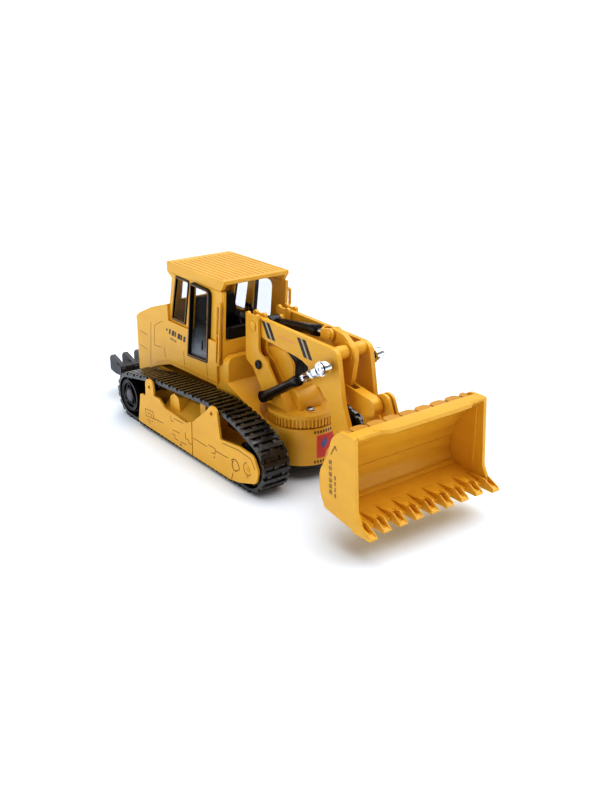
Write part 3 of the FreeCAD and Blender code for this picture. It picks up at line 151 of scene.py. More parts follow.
# the lift rod's turned profile: distance from the lower eye, radius
ROD_COLLARS = ((34.3, 1.5), (34.6, 2.0), (37.0, 2.1), (38.0, 1.7), (39.0, 1.7), (39.8, 2.3), (42.4, 2.5),
               (43.2, 1.9), (44.2, 1.9), (45.0, 2.6), (47.6, 2.7), (49.0, 2.0))
COLLAR_SIDES = 10
COLLAR_FLATTEN = 0.85        # the collars are this much narrower sideways
CREASE_HALF = 36.0           # half the length of the creases across the bucket
TOOTH_COUNT = 9
TOOTH_PITCH = 9.05
TOOTH_HALF = 2.2
TOOTH_TIP = 125.0
MIDDLE_TOOTH_SHORT = 1.5     # all teeth but the end ones stop this far behind them
RIM_HALF = 0.34              # half the width of a tooth's rim

# surfaces
NOISE_LOW = 0.25             # the range in which a noise's levels mostly lie
NOISE_HIGH = 0.75
FLOW_SCALE = 55.0            # slow change of colour in moulded plastic, in cycles per metre
GLOSS_SCALE = 170.0          # uneven gloss
GRAIN_SCALE = 2600.0         # fine grain of the surface
GRAIN_DEPTH = 0.00012        # in metres
WEAR_SCALE = 900.0           # turning marks on metal, worn spots in print
MARK_DEPTH = 0.00005         # in metres
COAT_ROUGHNESS = 0.22
PANE_HAZE_Z = (45.0, 62.0)   # heights between which a pane's haze fades
PANE_ALPHA = (0.62, 0.16)    # how solid a pane is below and above them
EDGE_ANGLE = 38.0            # edges sharper than this are softened, in degrees
SMOOTH_ANGLE = 35.0          # faces that meet under less than this are shaded as one
COMMON_EDGE = 0.22           # width of a CAD part's softened edges where nothing else is said
WELD_GAP = 0.002             # corners of a CAD mesh nearer than this are joined

# stage, in metres
FLOOR_HALF = 60.0
FLOOR_TONES = ((0.82, 0.88, 0.95, 1.0), (0.84, 0.89, 0.95, 1.0))
SKY_LOW = (1.0, 1.0, 1.0, 1.0)       # walls
SKY_HIGH = (0.2, 0.2, 0.21, 1.0)     # ceiling
SKY_STRENGTH = 1.5
CAMERA_AT = (0.378186, -0.266815, 0.208203)
CAMERA_FORWARD = (-0.7420, 0.5634, -0.3633)
CAMERA_LENS = 44.03
VIEW_EXPOSURE = -0.38


# ---------------------------------------------------------------- colour and materials
def srgb(red, green, blue):
    """A linear colour from 0..255 display values."""
    out = []
    for value in (red, green, blue):
        share = value / 255.0
        out.append(share / 12.92 if share <= 0.04045 else ((share + 0.055) / 1.055) ** 2.4)
    return (out[0], out[1], out[2], 1.0)


def shader(name):
    """A new material with its node tree and main shader."""
    material = bpy.data.materials.new(name)
    material.use_nodes = True
    tree = material.node_tree
    return material, tree, tree.nodes["Principled BSDF"]


def noise(tree, scale, detail, stretch=(1.0, 1.0, 1.0)):
    """A noise texture over object coordinates."""
    coords = tree.nodes.new("ShaderNodeTexCoord")
    mapping = tree.nodes.new("ShaderNodeMapping")
    mapping.inputs["Scale"].default_value = stretch
    texture = tree.nodes.new("ShaderNodeTexNoise")
    texture.inputs["Scale"].default_value = scale
    texture.inputs["Detail"].default_value = detail
    tree.links.new(coords.outputs["Object"], mapping.inputs["Vector"])
    tree.links.new(mapping.outputs["Vector"], texture.inputs["Vector"])
    return texture.outputs["Fac"]


def ramp(tree, source, low, high, first, second):
    """Colours blended between two levels of a texture."""
    node = tree.nodes.new("ShaderNodeValToRGB")
    node.color_ramp.elements[0].position = low
    node.color_ramp.elements[0].color = first
    node.color_ramp.elements[1].position = high
    node.color_ramp.elements[1].color = second
    tree.links.new(source, node.inputs["Fac"])
    return node.outputs["Color"]


def spread(tree, source, low, high):
    """A texture's 0..1 level mapped to low..high."""
    node = tree.nodes.new("ShaderNodeMapRange")
    node.inputs["From Min"].default_value = NOISE_LOW
    node.inputs["From Max"].default_value = NOISE_HIGH
    node.inputs["To Min"].default_value = low
    node.inputs["To Max"].default_value = high
    tree.links.new(source, node.inputs["Value"])
    return node.outputs["Result"]


def bump(tree, bsdf, source, strength, distance):
    """Surface relief from a texture."""
    node = tree.nodes.new("ShaderNodeBump")
    node.inputs["Strength"].default_value = strength
    node.inputs["Distance"].default_value = distance
    tree.links.new(source, node.inputs["Height"])
    tree.links.new(node.outputs["Normal"], bsdf.inputs["Normal"])


def moulded(name, colour, shade, rough, grain=0.08, specular=0.5, coat=0.0):
    """Moulded plastic or rubber: flow marks in the colour, a fine grain and uneven gloss."""
    material, tree, bsdf = shader(name)
    flow = noise(tree, FLOW_SCALE, 4.0, (1.0, 1.0, 2.4))
    gloss = noise(tree, GLOSS_SCALE, 2.0)
    tree.links.new(ramp(tree, flow, 0.32, 0.72, shade, colour), bsdf.inputs["Base Color"])
    tree.links.new(spread(tree, gloss, *rough), bsdf.inputs["Roughness"])
    bump(tree, bsdf, noise(tree, GRAIN_SCALE, 2.0), grain, GRAIN_DEPTH)
    bsdf.inputs["Specular IOR Level"].default_value = specular
    bsdf.inputs["Coat Weight"].default_value = coat
    bsdf.inputs["Coat Roughness"].default_value = COAT_ROUGHNESS
    return material


def metal(name, colour, shade, rough, grain=0.05):
    """Bare or plated metal with fine turning marks."""
    material, tree, bsdf = shader(name)
    bsdf.inputs["Metallic"].default_value = 1.0
    marks = noise(tree, WEAR_SCALE, 3.0, (1.0, 6.0, 1.0))
    tree.links.new(ramp(tree, marks, 0.3, 0.7, shade, colour), bsdf.inputs["Base Color"])
    tree.links.new(spread(tree, marks, *rough), bsdf.inputs["Roughness"])
    bump(tree, bsdf, marks, grain, MARK_DEPTH)
    return material


def printed(name, colour, shade):
    """Pad-printed ink, slightly worn and uneven."""
    material, tree, bsdf = shader(name)
    wear = noise(tree, WEAR_SCALE, 3.0)
    tree.links.new(ramp(tree, wear, 0.25, 0.6, shade, colour), bsdf.inputs["Base Color"])
    tree.links.new(spread(tree, wear, 0.4, 0.6), bsdf.inputs["Roughness"])
    return material


def height_level(tree, low, high):
    """0 at a low z and 1 at a high z of the object's own space, in millimetres."""
    coords = tree.nodes.new("ShaderNodeTexCoord")
    parts = tree.nodes.new("ShaderNodeSeparateXYZ")
    level = tree.nodes.new("ShaderNodeMapRange")
    level.inputs["From Min"].default_value = low * MM
    level.inputs["From Max"].default_value = high * MM
    tree.links.new(coords.outputs["Object"], parts.inputs["Vector"])
    tree.links.new(parts.outputs["Z"], level.inputs["Value"])
    return level.outputs["Result"]


def smoke_pane(name):
    """Thin tinted pane: nearly clear and dark above, with a pale grey haze towards the sill."""
    material, tree, bsdf = shader(name)
    level = height_level(tree, *PANE_HAZE_Z)
    tint = ramp(tree, level, 0.0, 1.0, srgb(150, 156, 164), srgb(10, 10, 12))
    tree.links.new(tint, bsdf.inputs["Base Color"])
    thin = tree.nodes.new("ShaderNodeMapRange")
    thin.inputs["To Min"].default_value = PANE_ALPHA[0]
    thin.inputs["To Max"].default_value = PANE_ALPHA[1]
    tree.links.new(level, thin.inputs["Value"])
    tree.links.new(thin.outputs["Result"], bsdf.inputs["Alpha"])
    tree.links.new(spread(tree, noise(tree, 40.0, 2.0), 0.05, 0.14), bsdf.inputs["Roughness"])
    bsdf.inputs["IOR"].default_value = 1.46
    return material


yellow = moulded("yellow_plastic", srgb(225, 175, 62), srgb(219, 167, 55), (0.32, 0.42), 0.10, 0.42, 0.1)
lip_plastic = moulded("window_lip", srgb(196, 150, 96), srgb(160, 112, 62), (0.35, 0.45))
# dark brown strips for lines moulded into the plastic: their colour is painted shade of the grooves
painted_groove_shade = moulded("engraved_line", srgb(128, 80, 22), srgb(104, 62, 14), (0.5, 0.6))
# darker yellow for the bucket's lobed ribs, whose plastic is the same yellow: painted shade of the lobes
# recessed below the lip
rib_yellow_painted_shade = moulded("rib_plastic", srgb(198, 146, 50), srgb(184, 132, 42), (0.36, 0.46), 0.1, 0.4, 0.08)
groove_shade = moulded("groove_shade", srgb(168, 118, 44), srgb(150, 102, 34), (0.5, 0.6))
rubber = moulded("track_rubber", srgb(24, 24, 26), srgb(13, 13, 15), (0.2, 0.32), 0.25, 0.9, 0.25)
seal = moulded("window_rubber", srgb(20, 19, 20), srgb(12, 12, 13), (0.32, 0.44), 0.12)
black = moulded("black_plastic", srgb(24, 24, 26), srgb(13, 13, 15), (0.26, 0.38), 0.16, 0.5, 0.1)
wheel_black = moulded("wheel_plastic", srgb(28, 28, 31), srgb(15, 15, 17), (0.3, 0.42), 0.14, 0.5)
# seat plastic: the black is the seat's own colour, and the brown tint in it is painted warm sheen
seat_black_and_sheen = moulded("seat_plastic", srgb(34, 27, 22), srgb(16, 14, 13), (0.36, 0.5), 0.3, 0.4)
grey = moulded("ripper_plastic", srgb(72, 73, 78), srgb(44, 45, 49), (0.36, 0.48), 0.2)
hub_grey = moulded("hub_grey", srgb(104, 102, 110), srgb(88, 86, 94), (0.42, 0.52), 0.2)
mat_grey = moulded("floor_mat", srgb(120, 124, 130), srgb(96, 100, 106), (0.5, 0.65), 0.3)
chrome = metal("chrome", srgb(238, 240, 244), srgb(214, 217, 224), (0.05, 0.14))
steel = metal("steel", srgb(186, 180, 176), srgb(150, 146, 143), (0.24, 0.36), 0.12)
pane = smoke_pane("smoke_pane")
ink_black = printed("ink_black", srgb(46, 42, 38), srgb(74, 62, 44))
ink_grey = printed("ink_grey", srgb(176, 170, 158), srgb(150, 142, 126))
ink_faint = printed("ink_faint", srgb(132, 100, 58), srgb(176, 136, 74))
ink_red = printed("ink_red", srgb(206, 74, 62), srgb(186, 62, 52))
ink_rose = printed("ink_rose", srgb(222, 152, 84), srgb(216, 160, 74))
ink_blue = printed("ink_blue", srgb(72, 104, 158), srgb(96, 112, 150))


# ---------------------------------------------------------------- mesh helpers
def point(x, y, z):
    """A place given in millimetres, in metres."""
    return Vector((x * MM, y * MM, z * MM))


def piece(name, bm, material, body, bevel=0.0, smooth=SMOOTH_ANGLE, segments=2):
    """Turns a bmesh into a piece of the object that rides on a CAD body."""
    bmesh.ops.recalc_face_normals(bm, faces=bm.faces)
    mesh = bpy.data.meshes.new(name)
    bm.to_mesh(mesh)
    bm.free()
    mesh.materials.append(material)
    for polygon in mesh.polygons:
        polygon.use_smooth = True
    mesh.set_sharp_from_angle(angle=math.radians(smooth))
    obj = bpy.data.objects.new(name, mesh)
    bpy.context.collection.objects.link(obj)
    if bevel > 0:
        add_bevel(obj, bevel, segments)
    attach(obj, body)


def add_bevel(obj, width, segments=2):
    """Softened edges, as moulded or turned parts have."""
    modifier = obj.modifiers.new("edges", "BEVEL")
    modifier.width = width * MM
    modifier.segments = segments
    modifier.limit_method = "ANGLE"
    modifier.angle_limit = math.radians(EDGE_ANGLE)


def join_rings(bm, low, high):
    """Faces between two rings with the same number of corners."""
    for i in range(len(low)):
        following = (i + 1) % len(low)
        bm.faces.new((low[i], low[following], high[following], high[i]))


def loft(bm, rings):
    """A closed solid through rings with the same number of points."""
    loops = [[bm.verts.new(place) for place in ring] for ring in rings]
    bm.faces.new(loops[0][::-1])
    bm.faces.new(loops[-1])
    for low, high in zip(loops, loops[1:]):
        join_rings(bm, low, high)


def slab_y(bm, outline, low, high):
    """A solid with an (x, z) outline between two y values."""
    loft(bm, [[point(x, y, z) for x, z in outline] for y in (low, high)])


def slab_x(bm, outline, low, high):
    """A solid with a (y, z) outline between two x values."""
    loft(bm, [[point(x, y, z) for y, z in outline] for x in (low, high)])


def slab_z(bm, outline, low, high):
    """A solid with an (x, y) outline between two z values."""
    loft(bm, [[point(x, y, z) for x, y in outline] for z in (low, high)])


def box_outline(first, second):
    """The four corners of a rectangle between two opposite ones."""
    return [first, (second[0], first[1]), second, (first[0], second[1])]


def span(side, inner, outer):
    """The (low, high) y values of a layer between two |y| values on one side."""
    return (inner, outer) if side == LEFT else (-outer, -inner)


def on_side(bm, outline, side, inner, outer):
    """A slab on a side face, from |y| inner to outer."""
    slab_y(bm, outline, *span(side, inner, outer))


def polar(centre, radius, angle):
    """The point at a distance from a centre, at an angle in degrees."""
    turn = math.radians(angle)
    return centre[0] + radius * math.cos(turn), centre[1] + radius * math.sin(turn)


def arc(centre, radius, start, end, steps):
    """Points on a circle between two angles in degrees."""
    return [polar(centre, radius, start + (end - start) * i / steps) for i in range(steps + 1)]


def stroke(bm, start, end, width, side, face, height=SKIN):
    """A thin straight line drawn on a side face."""
    along = Vector((end[0] - start[0], end[1] - start[1]))
    across = Vector((-along.y, along.x)).normalized() * width / 2
    outline = [(start[0] - across.x, start[1] - across.y), (end[0] - across.x, end[1] - across.y),
               (end[0] + across.x, end[1] + across.y), (start[0] + across.x, start[1] + across.y)]
    on_side(bm, outline, side, face - ROOT, face + height)


def drawn(bm, points, width, side, face, closed=False, height=SKIN):
    """A line through points on a side face, back to the first one if it is closed."""
    last = len(points) if closed else len(points) - 1
    for i in range(last):
        stroke(bm, points[i], points[(i + 1) % len(points)], width, side, face, height)


def turned(bm, profile, centre, axis, steps, flip=1):
    """A turned solid from (radius, height) pairs round a 'y' or 'z' axis; flip -1 turns it end for end."""
    rings = []
    for radius, height in profile:
        ring = []
        for i in range(steps):
            a, b = polar((0.0, 0.0), radius, 360.0 * i / steps)
            if axis == "y":
                ring.append(point(centre[0] + a, centre[1] + flip * height, centre[2] + b))
            else:
                ring.append(point(centre[0] + a, centre[1] + b, centre[2] + flip * height))
        rings.append(ring)
    loft(bm, rings)


def washer(bm, centre, side, face, inner, outer, height, steps=40):
    """A flat ring standing on a side face."""
    low, high = face - 2 * ROOT, face + height
    loops = []
    for radius, y in ((inner, low), (outer, low), (outer, high), (inner, high)):
        places = [polar(centre, radius, 360.0 * i / steps) for i in range(steps)]
        loops.append([bm.verts.new(point(x, side * y, z)) for x, z in places])
    for here, beside in zip(loops, loops[1:] + loops[:1]):
        join_rings(bm, here, beside)


def side_button(bm, profile, centre, side, face, steps):
    """A turned solid on a side face, with its heights counted outwards from the face."""
    turned(bm, profile, (centre[0], side * face, centre[1]), "y", steps, side)


# ---------------------------------------------------------------- the tracks
def belt_step(distance, inset):
    """Place and outward normal at a distance along the belt, moved in by inset, and the belt's length."""
    circles = [(x, z, radius - inset) for x, z, radius in BELT_CIRCLES]
    count = len(circles)
    normals = []
    for i in range(count):
        here, following = circles[i], circles[(i + 1) % count]
        dx, dz = following[0] - here[0], following[1] - here[1]
        normals.append(math.atan2(dz, dx) + math.acos((here[2] - following[2]) / math.hypot(dx, dz)))
    runs = []
    for i in range(count):
        here, following = circles[i], circles[(i + 1) % count]
        turn = (normals[i - 1] - normals[i]) % (2 * math.pi)
        gap = math.hypot(following[0] - here[0], following[1] - here[1])
        runs.append((here, normals[i - 1], turn * here[2], True))
        runs.append((here, normals[i], math.sqrt(gap ** 2 - (following[2] - here[2]) ** 2), False))
    total = sum(run[2] for run in runs)
    distance %= total
    for circle, normal, length, curved in runs:
        if distance <= length:
            break
        distance -= length
    angle = normal - distance / circle[2] if curved else normal
    x = circle[0] + circle[2] * math.cos(angle)
    z = circle[1] + circle[2] * math.sin(angle)
    if not curved:
        x += distance * math.sin(angle)
        z -= distance * math.cos(angle)
    return (x, z), (math.cos(angle), math.sin(angle)), total


def belt_block(bm, start, end, height, side, inner, outer):
    """A block on the belt between two distances along it."""
    ring = []
    for distance, lift in ((start, -LINK_ROOT), (end, -LINK_ROOT), (end, height), (start, height)):
        place, normal, _ = belt_step(distance, GROUSER_HEIGHT)
        ring.append((place[0] + lift * normal[0], place[1] + lift * normal[1]))
    on_side(bm, ring, side, inner, outer)


def make_track_links(side, word):
    """Links that join the belt's cross bars in pairs: at their ends and, staggered, across the middle."""
    bm = bmesh.new()
    pitch = belt_step(0.0, GROUSER_HEIGHT)[2] / GROUSER_COUNT
    for i in range(GROUSER_COUNT):
        start, end = (i + LINK_END) * pitch, (i + 1 - LINK_END) * pitch
        for inner, outer, share in (EDGE_LINKS, MIDDLE_LINKS)[i % 2]:
            belt_block(bm, start, end, GROUSER_HEIGHT * share, side, inner, outer)
    piece("track_links_" + word, bm, rubber, "chassis", 0.12, segments=1)


def make_sprocket_face(side, word):
    """Sprocket cover: rings, a three-lobed raised shape and small screws round a grey hub."""
    body = "sprocket_" + word
    bm = bmesh.new()
    washer(bm, SPROCKET_AT, side, WHEEL_FACE, 3.9, 4.5, 0.45)
    washer(bm, SPROCKET_AT, side, WHEEL_FACE - 1.0, 8.3, 9.0, 1.25)
    outer = []
    for angle in LOBE_ANGLES:
        outer += arc(polar(SPROCKET_AT, LOBE_AT, angle), LOBE_R, angle - LOBE_SWEEP, angle + LOBE_SWEEP, 8)
    axle_x, axle_z = SPROCKET_AT
    inner = [(axle_x + (x - axle_x) * LOBE_RIM, axle_z + (z - axle_z) * LOBE_RIM) for x, z in outer]
    for i in range(len(outer)):
        following = (i + 1) % len(outer)
        ridge = [outer[i], outer[following], inner[following], inner[i]]
        on_side(bm, ridge, side, WHEEL_FACE - 1.0, WHEEL_FACE + 0.35)
    for angle in LOBE_ANGLES:
        place = polar(SPROCKET_AT, 7.1, angle)
        side_button(bm, [(0.75, 0.0), (0.75, 1.2), (0.5, 1.45)], place, side, WHEEL_FACE - 1.2, 14)
    piece("sprocket_cover_" + word, bm, wheel_black, body, 0.1)
    bm = bmesh.new()
    hub = [(3.4, 0.0), (3.4, 0.35), (3.0, 0.6), (0.6, 0.66)]
    side_button(bm, hub, SPROCKET_AT, side, WHEEL_FACE - 0.05, 36)
    piece("sprocket_hub_" + word, bm, hub_grey, body, 0.08)


def make_frame_lines(side, word):
    """Lines and small marks moulded into the side frame's outer face, drawn as thin dark strips of painted
    groove shade.
    """
    bm = bmesh.new()
    drawn(bm, FRAME_PLATE, FINE_LINE, side, PANEL_FACE, True)
    for points in FRAME_LINES:
        drawn(bm, points, FINE_LINE, side, PANEL_FACE)
    drawn(bm, arc(FRAME_CURL, 3.4, -20, 150, 14), 0.5, side, PANEL_FACE)
    drawn(bm, arc(FRAME_CURL, 2.5, 120, 330, 14), 0.55, side, PANEL_FACE)
    drawn(bm, [(28.0, 6.2), (26.6, 2.6)], 0.4, side, PANEL_FACE)
    drawn(bm, arc(FRAME_BOSS, 3.1, 100, 330, 16), 0.35, side, PANEL_FACE)
    drawn(bm, arc((-20.3, 3.9), 0.35, 0, 360, 8), 0.5, side, PANEL_FACE)
    drawn(bm, arc((11.6, 8.6), 0.3, 0, 360, 8), 0.4, side, PANEL_FACE)
    piece("side_frame_lines_" + word, bm, painted_groove_shade, "chassis")


def make_frame_bosses(side, word):
    """Boss with a hexagon at the idler's axle, and rings round the holes in the side frame's ears."""
    bm = bmesh.new()
    side_button(bm, [(1.9, 0.0), (1.9, 0.25), (1.5, 0.45), (0.9, 0.45)], FRAME_BOSS, side, PANEL_FACE, 28)
    side_button(bm, [(1.0, 0.0), (1.0, 0.6), (0.7, 0.85)], FRAME_BOSS, side, PANEL_FACE, 6)
    for place in FRAME_EARS:
        washer(bm, place, side, PANEL_FACE, 1.0, 1.35, 0.16, 24)
    piece("side_frame_bosses_" + word, bm, yellow, "chassis", 0.06)


# ---------------------------------------------------------------- body and cab
def make_body_seams(side, word):
    """Engine door outline and panel seams, drawn as dark strips of painted groove shade, and a raised ridge
    along the skirt of the body's side.
    """
    bm = bmesh.new()
    for points in BODY_SEAMS:
        drawn(bm, points, SEAM_WIDTH, side, BODY_FACE)
    piece("body_seams_" + word, bm, painted_groove_shade, "chassis")
    bm = bmesh.new()
    drawn(bm, SKIRT_RIDGE, 0.5, side, BODY_FACE, False, 0.3)
    piece("body_skirt_ridge_" + word, bm, yellow, "chassis", 0.1)


def make_louvres():
    """Cooling louvres, on the body's left side only."""
    bm = bmesh.new()
    for i in range(5):
        z = 41.8 - 2.0 * i
        slat = [(-92.4, z), (-92.4, z + 0.7), (-86.2, z + 0.4), (-86.2, z - 0.3)]
        on_side(bm, slat, LEFT, BODY_FACE - 0.2, BODY_FACE + 0.35)
    piece("body_louvres_left", bm, yellow, "chassis", 0.08)


def make_body_print(side, word):
    """Dark leaning bars of several widths, with a row of faint dashes below."""
    bm = bmesh.new()
    drawn(bm, [(-62.6, 52.0), (-61.2, 52.0)], 1.1, side, BODY_FACE)
    for i, width in enumerate(PRINT_BARS):
        x = -59.4 + 2.95 * i
        low, high = 50.1 - 0.1 * i, 53.1 - 0.1 * i
        bar = [(x - 0.5, low), (x - 0.5 + width, low), (x + 0.4 + width, high), (x + 0.4, high)]
        on_side(bm, bar, side, BODY_FACE - ROOT, BODY_FACE + SKIN)
    piece("body_print_dark_" + word, bm, ink_black, "chassis")
    bm = bmesh.new()
    for i in range(4):
        x, z = -58.6 + 1.7 * i, 47.9 - 0.1 * i
        drawn(bm, [(x, z), (x + 1.1, z)], 1.3, side, BODY_FACE)
    piece("body_print_faint_" + word, bm, ink_faint, "chassis")


def make_window_trim(side, word):
    """Thin moulded lip round each window's rubber, seen as a light line."""
    bm = bmesh.new()
    for outline, face in ((DOOR_PANE, CAB_FACE + 1.66), (REAR_PANE, CAB_FACE + 0.45)):
        middle_x = sum(x for x, z in outline) / len(outline)
        middle_z = sum(z for x, z in outline) / len(outline)
        grown = []
        for x, z in outline:
            away_x = math.copysign(LIP_AWAY, x - middle_x)
            away_z = math.copysign(LIP_AWAY, z - middle_z)
            grown.append((x + away_x, z + away_z))
        drawn(bm, grown, 0.26, side, face, True, 0.08)
    piece("window_lip_" + word, bm, lip_plastic, "chassis")


def make_door_grip(side, word):
    """Short upright grip on the door."""
    bm = bmesh.new()
    drawn(bm, [(-25.6, 50.2), (-25.0, 55.4)], 0.8, side, CAB_FACE + 1.6, False, 0.55)
    piece("door_grip_" + word, bm, black, "chassis", 0.1)


def make_roof_gusset(side, word):
    """Web in the corner between the front pillar and the roof."""
    bm = bmesh.new()
    gusset = [(-7.4, 84.0), (-17.4, 84.0), (-12.0, 80.4), (-9.2, 75.2), (-8.0, 75.4)]
    on_side(bm, gusset, side, CAB_FACE - 0.5, CAB_FACE + 0.35)
    piece("roof_gusset_" + word, bm, yellow, "chassis", 0.2)


def make_floor_mat():
    """Grey mat on the cab's floor."""
    bm = bmesh.new()
    slab_z(bm, box_outline((-57.6, -17.4), (-15.2, 17.4)), 44.62, 44.95)
    piece("cab_floor_mat", bm, mat_grey, "chassis", 0.1)


def make_lamp_pods():
    """Two lamp pods on the roof's rear edge."""
    bm = bmesh.new()
    for y in (-12.8, 12.8):
        slab_x(bm, box_outline((y - 3.4, 84.9), (y + 3.4, 88.6)), -62.4, -61.1)
    piece("rear_lamp_pods", bm, black, "chassis", 0.25)


def make_rear_grille():
    """Bars between two posts on the body's rear face."""
    bm = bmesh.new()
    for i in range(7):
        z = 30.0 + 2.3 * i
        slab_x(bm, box_outline((-12.5, z), (12.5, z + 1.1)), *GRILLE_DEPTH)
    for y in (-13.7, 13.7):
        slab_x(bm, box_outline((y - 0.5, 28.2), (y + 0.5, 46.6)), *GRILLE_DEPTH)
    piece("rear_grille", bm, black, "chassis", 0.15)


def make_roof_grooves():
    """Shade in the grooves between the roof's slats."""
    bm = bmesh.new()
    rear, front = ROOF_GROOVE_X
    for i in range(ROOF_SLATS + 1):
        y = ROOF_GROOVE_PITCH * (i - ROOF_SLATS / 2)
        slab_z(bm, box_outline((rear, y - ROOF_GROOVE_HALF), (front, y + ROOF_GROOVE_HALF)), 89.15, 89.3)
    piece("roof_groove_shade", bm, groove_shade, "chassis")


def make_handrail_frame():
    """Raised border, a dark strip of painted shade in the recess, and bridges on the flat handrail at the
    right door.
    """
    rise = RAIL_LEAN * (RAIL_HIGH - RAIL_LOW)
    strips = (("handrail_rear_edge", yellow, -12.45, rise - 0.4, 0.5, 0.5, 0.12),
              ("handrail_front_edge", yellow, -9.95, rise, 0.5, 0.5, 0.12),
              ("handrail_recess", painted_groove_shade, -11.75, rise, 0.45, SKIN, 0.0))
    for name, material, foot, shift, width, height, bevel in strips:
        bm = bmesh.new()
        drawn(bm, [(foot, RAIL_LOW), (foot + shift, RAIL_HIGH)], width, RIGHT, RAIL_FACE, False, height)
        piece(name, bm, material, "chassis", bevel)
    bm = bmesh.new()
    for z in (46.8, 61.8, 77.3):
        x = -11.2 + RAIL_LEAN * (z - RAIL_LOW)
        drawn(bm, [(x - 1.3, z), (x + 1.3, z)], 0.7, RIGHT, RAIL_FACE, False, 0.45)
    piece("handrail_bridges", bm, yellow, "chassis", 0.12)


def make_seat_channels():
    """Raised channels across the seat's backrest, leaning back with it."""
    bm = bmesh.new()
    for i in range(4):
        z = 56.6 + 3.2 * i
        lean = SEAT_LEAN * (z - 50.0)
        slab_x(bm, box_outline((-10.6, z), (10.6, z + 2.2)), -43.6 - lean, -42.3 - lean)
    piece("seat_channels", bm, seat_black_and_sheen, "chassis", 0.5, segments=3)


def make_levers():
    """Two control levers with round knobs at each side of the cab."""
    bm = bmesh.new()
    lever = [(0.45, 0.0), (0.4, 6.0), (1.0, 6.4), (1.1, 7.6), (0.5, 8.2)]
    for y in (-12.0, 12.0):
        for x in (-33.0, -30.0):
            turned(bm, lever, (x, y, 59.8), "z", 14)
    piece("cab_levers", bm, black, "chassis")


def nose_patch(bm, first, last, low, high, lift=0.08, steps=8):
    """A curved patch on the hull's round nose between two angles in degrees and two heights."""
    front = arc(NOSE_AT, NOSE_R + lift, first, last, steps)
    back = arc(NOSE_AT, NOSE_R - ROOT, last, first, steps)
    slab_z(bm, front + back, low, high)


def nose_blob(bm, middle, low, high, half):
    """A rounded patch on the nose that leans with height, built of level strips."""
    strips = 6
    height = (high - low) / strips
    for i in range(strips):
        share = (i + 0.5) / strips
        width = half * math.sin(math.pi * share)
        shift = 4.0 * (share - 0.5)
        floor = low + height * i
        nose_patch(bm, middle - width + shift, middle + width + shift, floor, floor + height, 0.14, 3)


def make_nose_print():
    """Panel printed on the nose: a red field with blue blobs and rows of dark dashes above and below."""
    bm = bmesh.new()
    nose_patch(bm, FIELD_START, FIELD_END, *FIELD_Z)
    piece("nose_field", bm, ink_red, "chassis")
    bm = bmesh.new()
    nose_blob(bm, 0.0, 16.2, 21.8, 5.0)
    nose_blob(bm, 14.0, 12.6, 16.4, 4.5)
    piece("nose_blobs", bm, ink_blue, "chassis")
    bm = bmesh.new()
    nose_patch(bm, FIELD_START - 1.6, FIELD_START - 0.6, 11.0, 23.6)
    nose_patch(bm, FIELD_START, FIELD_END, 23.5, 23.8)
    piece("nose_border", bm, ink_rose, "chassis")
    bm = bmesh.new()
    for i in range(9):
        start = -17.5 + 5.0 * i
        for low in DASH_ROWS:
            nose_patch(bm, start, start + 2.4, low, low + DASH_HEIGHT, 0.08, 2)
    piece("nose_dashes", bm, ink_black, "chassis")


# ---------------------------------------------------------------- turntable and arms
def make_deck_screw():
    """Round-headed deck screw on its raised boss, its cross recess drawn as a black cross of painted shade.
    """
    x, y, z = DECK_SCREW
    bm = bmesh.new()
    turned(bm, [(3.1, -0.1), (3.1, 0.3), (2.7, 0.5), (2.2, 0.5)], DECK_SCREW, "z", 32)
    piece("deck_boss", bm, yellow, "turntable", 0.08)
    bm = bmesh.new()
    turned(bm, [(2.1, 0.4), (2.1, 1.0), (1.7, 1.5), (1.0, 1.8), (0.3, 1.85)], DECK_SCREW, "z", 28)
    piece("deck_screw_head", bm, steel, "turntable")
    # black cross over the head: painted shade of the cross recess
    bm = bmesh.new()
    for half_x, half_y in ((1.2, 0.22), (0.22, 1.2)):
        slab_z(bm, box_outline((x - half_x, y - half_y), (x + half_x, y + half_y)), z + 1.6, z + 1.92)
    piece("deck_screw_recess", bm, black, "turntable")


def make_tower_detail(side, word):
    """Bolt cap with a recess, round beads on the top corners and a pivot cap on each tower."""
    bm = bmesh.new()
    cap = [(2.3, 0.0), (2.3, 0.45), (2.0, 0.8), (1.3, 0.85), (1.2, 0.55), (0.2, 0.5)]
    side_button(bm, cap, TOWER_BOLT, side, TOWER_FACE + 0.4, 30)
    piece("tower_bolt_cap_" + word, bm, black, "turntable")
    bm = bmesh.new()
    for place in TOWER_CORNERS:
        for face in (TOWER_FACE - 1.5, INNER_TOWER_FACE):
            side_button(bm, [(1.5, 0.0), (1.5, 1.7)], place, side, face, 20)
    piece("tower_top_beads_" + word, bm, yellow, "turntable", 0.15)
    bm = bmesh.new()
    cap = [(2.6, 0.0), (2.6, 0.35), (1.9, 0.75), (0.5, 0.8)]
    side_button(bm, cap, LIFT_PIVOT, side, TOWER_FACE + 0.1, 28)
    piece("tower_pivot_cap_" + word, bm, yellow, "turntable")


def make_hood_cover():
    """Black cover with upright ribs that closes the open front between the housing's cheeks."""
    bm = bmesh.new()
    cover = [(24.8, 59.4), (25.4, 60.15), (30.9, 56.7), (31.95, 54.9), (31.95, 44.9), (31.3, 44.9),
             (31.3, 54.4), (30.4, 55.9)]
    slab_y(bm, cover, -4.9, 4.9)
    piece("hood_cover", bm, black, "turntable", 0.3)
    bm = bmesh.new()
    for y in (-3.6, 0.0, 3.6):
        slab_y(bm, [(31.8, 46.0), (32.2, 46.2), (32.2, 53.8), (31.8, 54.2)], y - 0.35, y + 0.35)
    piece("hood_cover_ribs", bm, black, "turntable", 0.12)


